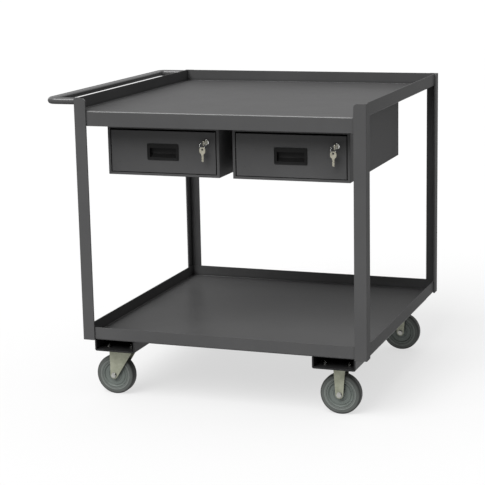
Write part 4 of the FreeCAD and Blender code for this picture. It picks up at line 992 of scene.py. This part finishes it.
def makeDimples(values):
    # a shallow ring round a nearly flat middle, where the front was spot welded
    radius, depth = values["radius"], values["depth"]
    outline = [(0, depth * 0.75), (radius * 0.7, depth * 0.6), (radius * 0.85, 0), (radius, depth * 0.4),
               (radius, depth * 2), (0, depth * 2)]
    for side in ("left", "right"):
        low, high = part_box(side + "_drawer_front")
        marks = []
        for number, x in enumerate((low.x + values["inset"], high.x - values["inset"])):
            spot = Vector((x, low.y - depth, low.z + values["rise"]))
            marks.append(lathe(f"{side}Dimple{number}", outline, spot, sideways, rightward, 32))
        attach(settle(joinPieces(side + "SpotMarks", marks), 60), side + "_drawer", "frame_paint")


makeDimples(dimpleSpec)
print("spot marks made")

stageSpec = {
    "floorSize": 120.0, "floorColour": (0.2, 0.2, 0.2), "floorGlow": 0.64, "floorRough": 0.9,
    "horizon": 0.15, "zenith": 1.1, "backWall": 0.5, "leftWall": 0.3,
    "horizonBand": 0.85, "bandSharpness": 25.0,
    "sunStrength": 4.0, "sunAngle": 45, "sunFrom": (-0.2, -0.66, 0.72), "sunPlace": (0, 0, 3),
}


def makeFloor(values):
    deselectAll()
    bpy.ops.mesh.primitive_plane_add(size=values["floorSize"], location=(0, 0, 0))
    floor = bpy.context.active_object
    floor.name = "floor"
    material, shader = newMaterial("paleFloor")
    shader.inputs["Base Color"].default_value = (*values["floorColour"], 1)
    shader.inputs["Emission Color"].default_value = (1, 1, 1, 1)
    shader.inputs["Emission Strength"].default_value = values["floorGlow"]
    shader.inputs["Roughness"].default_value = values["floorRough"]
    shader.inputs["Specular IOR Level"].default_value = 0.0
    setMaterial(floor, material)


def makeSky(values):
    # studio light: dim low on the walls, bright at the ceiling, paler walls behind and on the left
    world = bpy.data.worlds.new("studio")
    bpy.context.scene.world = world
    world.use_nodes = True
    tree = world.node_tree
    place = tree.nodes.new("ShaderNodeTexCoord")
    split = tree.nodes.new("ShaderNodeSeparateXYZ")
    tree.links.new(place.outputs["Generated"], split.inputs[0])
    height = addMath(tree, "MAXIMUM", split.outputs["Z"], 0.0)
    glow = addMath(tree, "MULTIPLY_ADD", height, values["zenith"] - values["horizon"], values["horizon"])
    back = addMath(tree, "MAXIMUM", split.outputs["Y"], 0.0)
    glow = addMath(tree, "MULTIPLY_ADD", back, values["backWall"], glow)
    left = addMath(tree, "MULTIPLY", split.outputs["X"], -1.0)
    left = addMath(tree, "MAXIMUM", left, 0.0)
    glow = addMath(tree, "MULTIPLY_ADD", left, values["leftWall"], glow)
    # a narrow pale band where the floor meets the walls
    above = addMath(tree, "MULTIPLY", height, values["bandSharpness"])
    band = addMath(tree, "SUBTRACT", 1.0, above, clamp=True)
    glow = addMath(tree, "MULTIPLY_ADD", band, values["horizonBand"], glow)
    tree.nodes["Background"].inputs["Color"].default_value = (1, 1, 1, 1)
    tree.links.new(glow, tree.nodes["Background"].inputs["Strength"])


def makeSun(values):
    light = bpy.data.lights.new("keyLight", "SUN")
    light.energy = values["sunStrength"]
    light.angle = math.radians(values["sunAngle"])
    holder = bpy.data.objects.new("keyLight", light)
    bpy.context.scene.collection.objects.link(holder)
    holder.location = values["sunPlace"]
    holder.rotation_euler = Vector(values["sunFrom"]).to_track_quat("Z", "Y").to_euler()


cameraSpec = {"azimuth": 20.16, "elevation": 11.78, "roll": -1.19, "distance": 5.051, "lens": 113.3,
              "sensor": 36.0, "reach": 200.0, "aim": (-0.0388, 0.0, 0.4299)}


def makeCamera(values):
    camera = bpy.data.cameras.new("studioCamera")
    camera.lens = values["lens"]
    camera.sensor_width = values["sensor"]
    camera.clip_end = values["reach"]
    holder = bpy.data.objects.new("studioCamera", camera)
    bpy.context.scene.collection.objects.link(holder)
    azimuth, elevation = math.radians(values["azimuth"]), math.radians(values["elevation"])
    back = Vector((math.sin(azimuth) * math.cos(elevation), -math.cos(azimuth) * math.cos(elevation),
                   math.sin(elevation)))
    holder.location = Vector(values["aim"]) + back * values["distance"]
    roll = Matrix.Rotation(math.radians(values["roll"]), 4, "Z")
    turn = back.to_track_quat("Z", "Y").to_matrix().to_4x4() @ roll
    holder.rotation_euler = turn.to_euler()
    bpy.context.scene.camera = holder


makeFloor(stageSpec)
makeSky(stageSpec)
makeSun(stageSpec)
makeCamera(cameraSpec)
bpy.context.scene.view_settings.view_transform = "Standard"
print("stage ready")
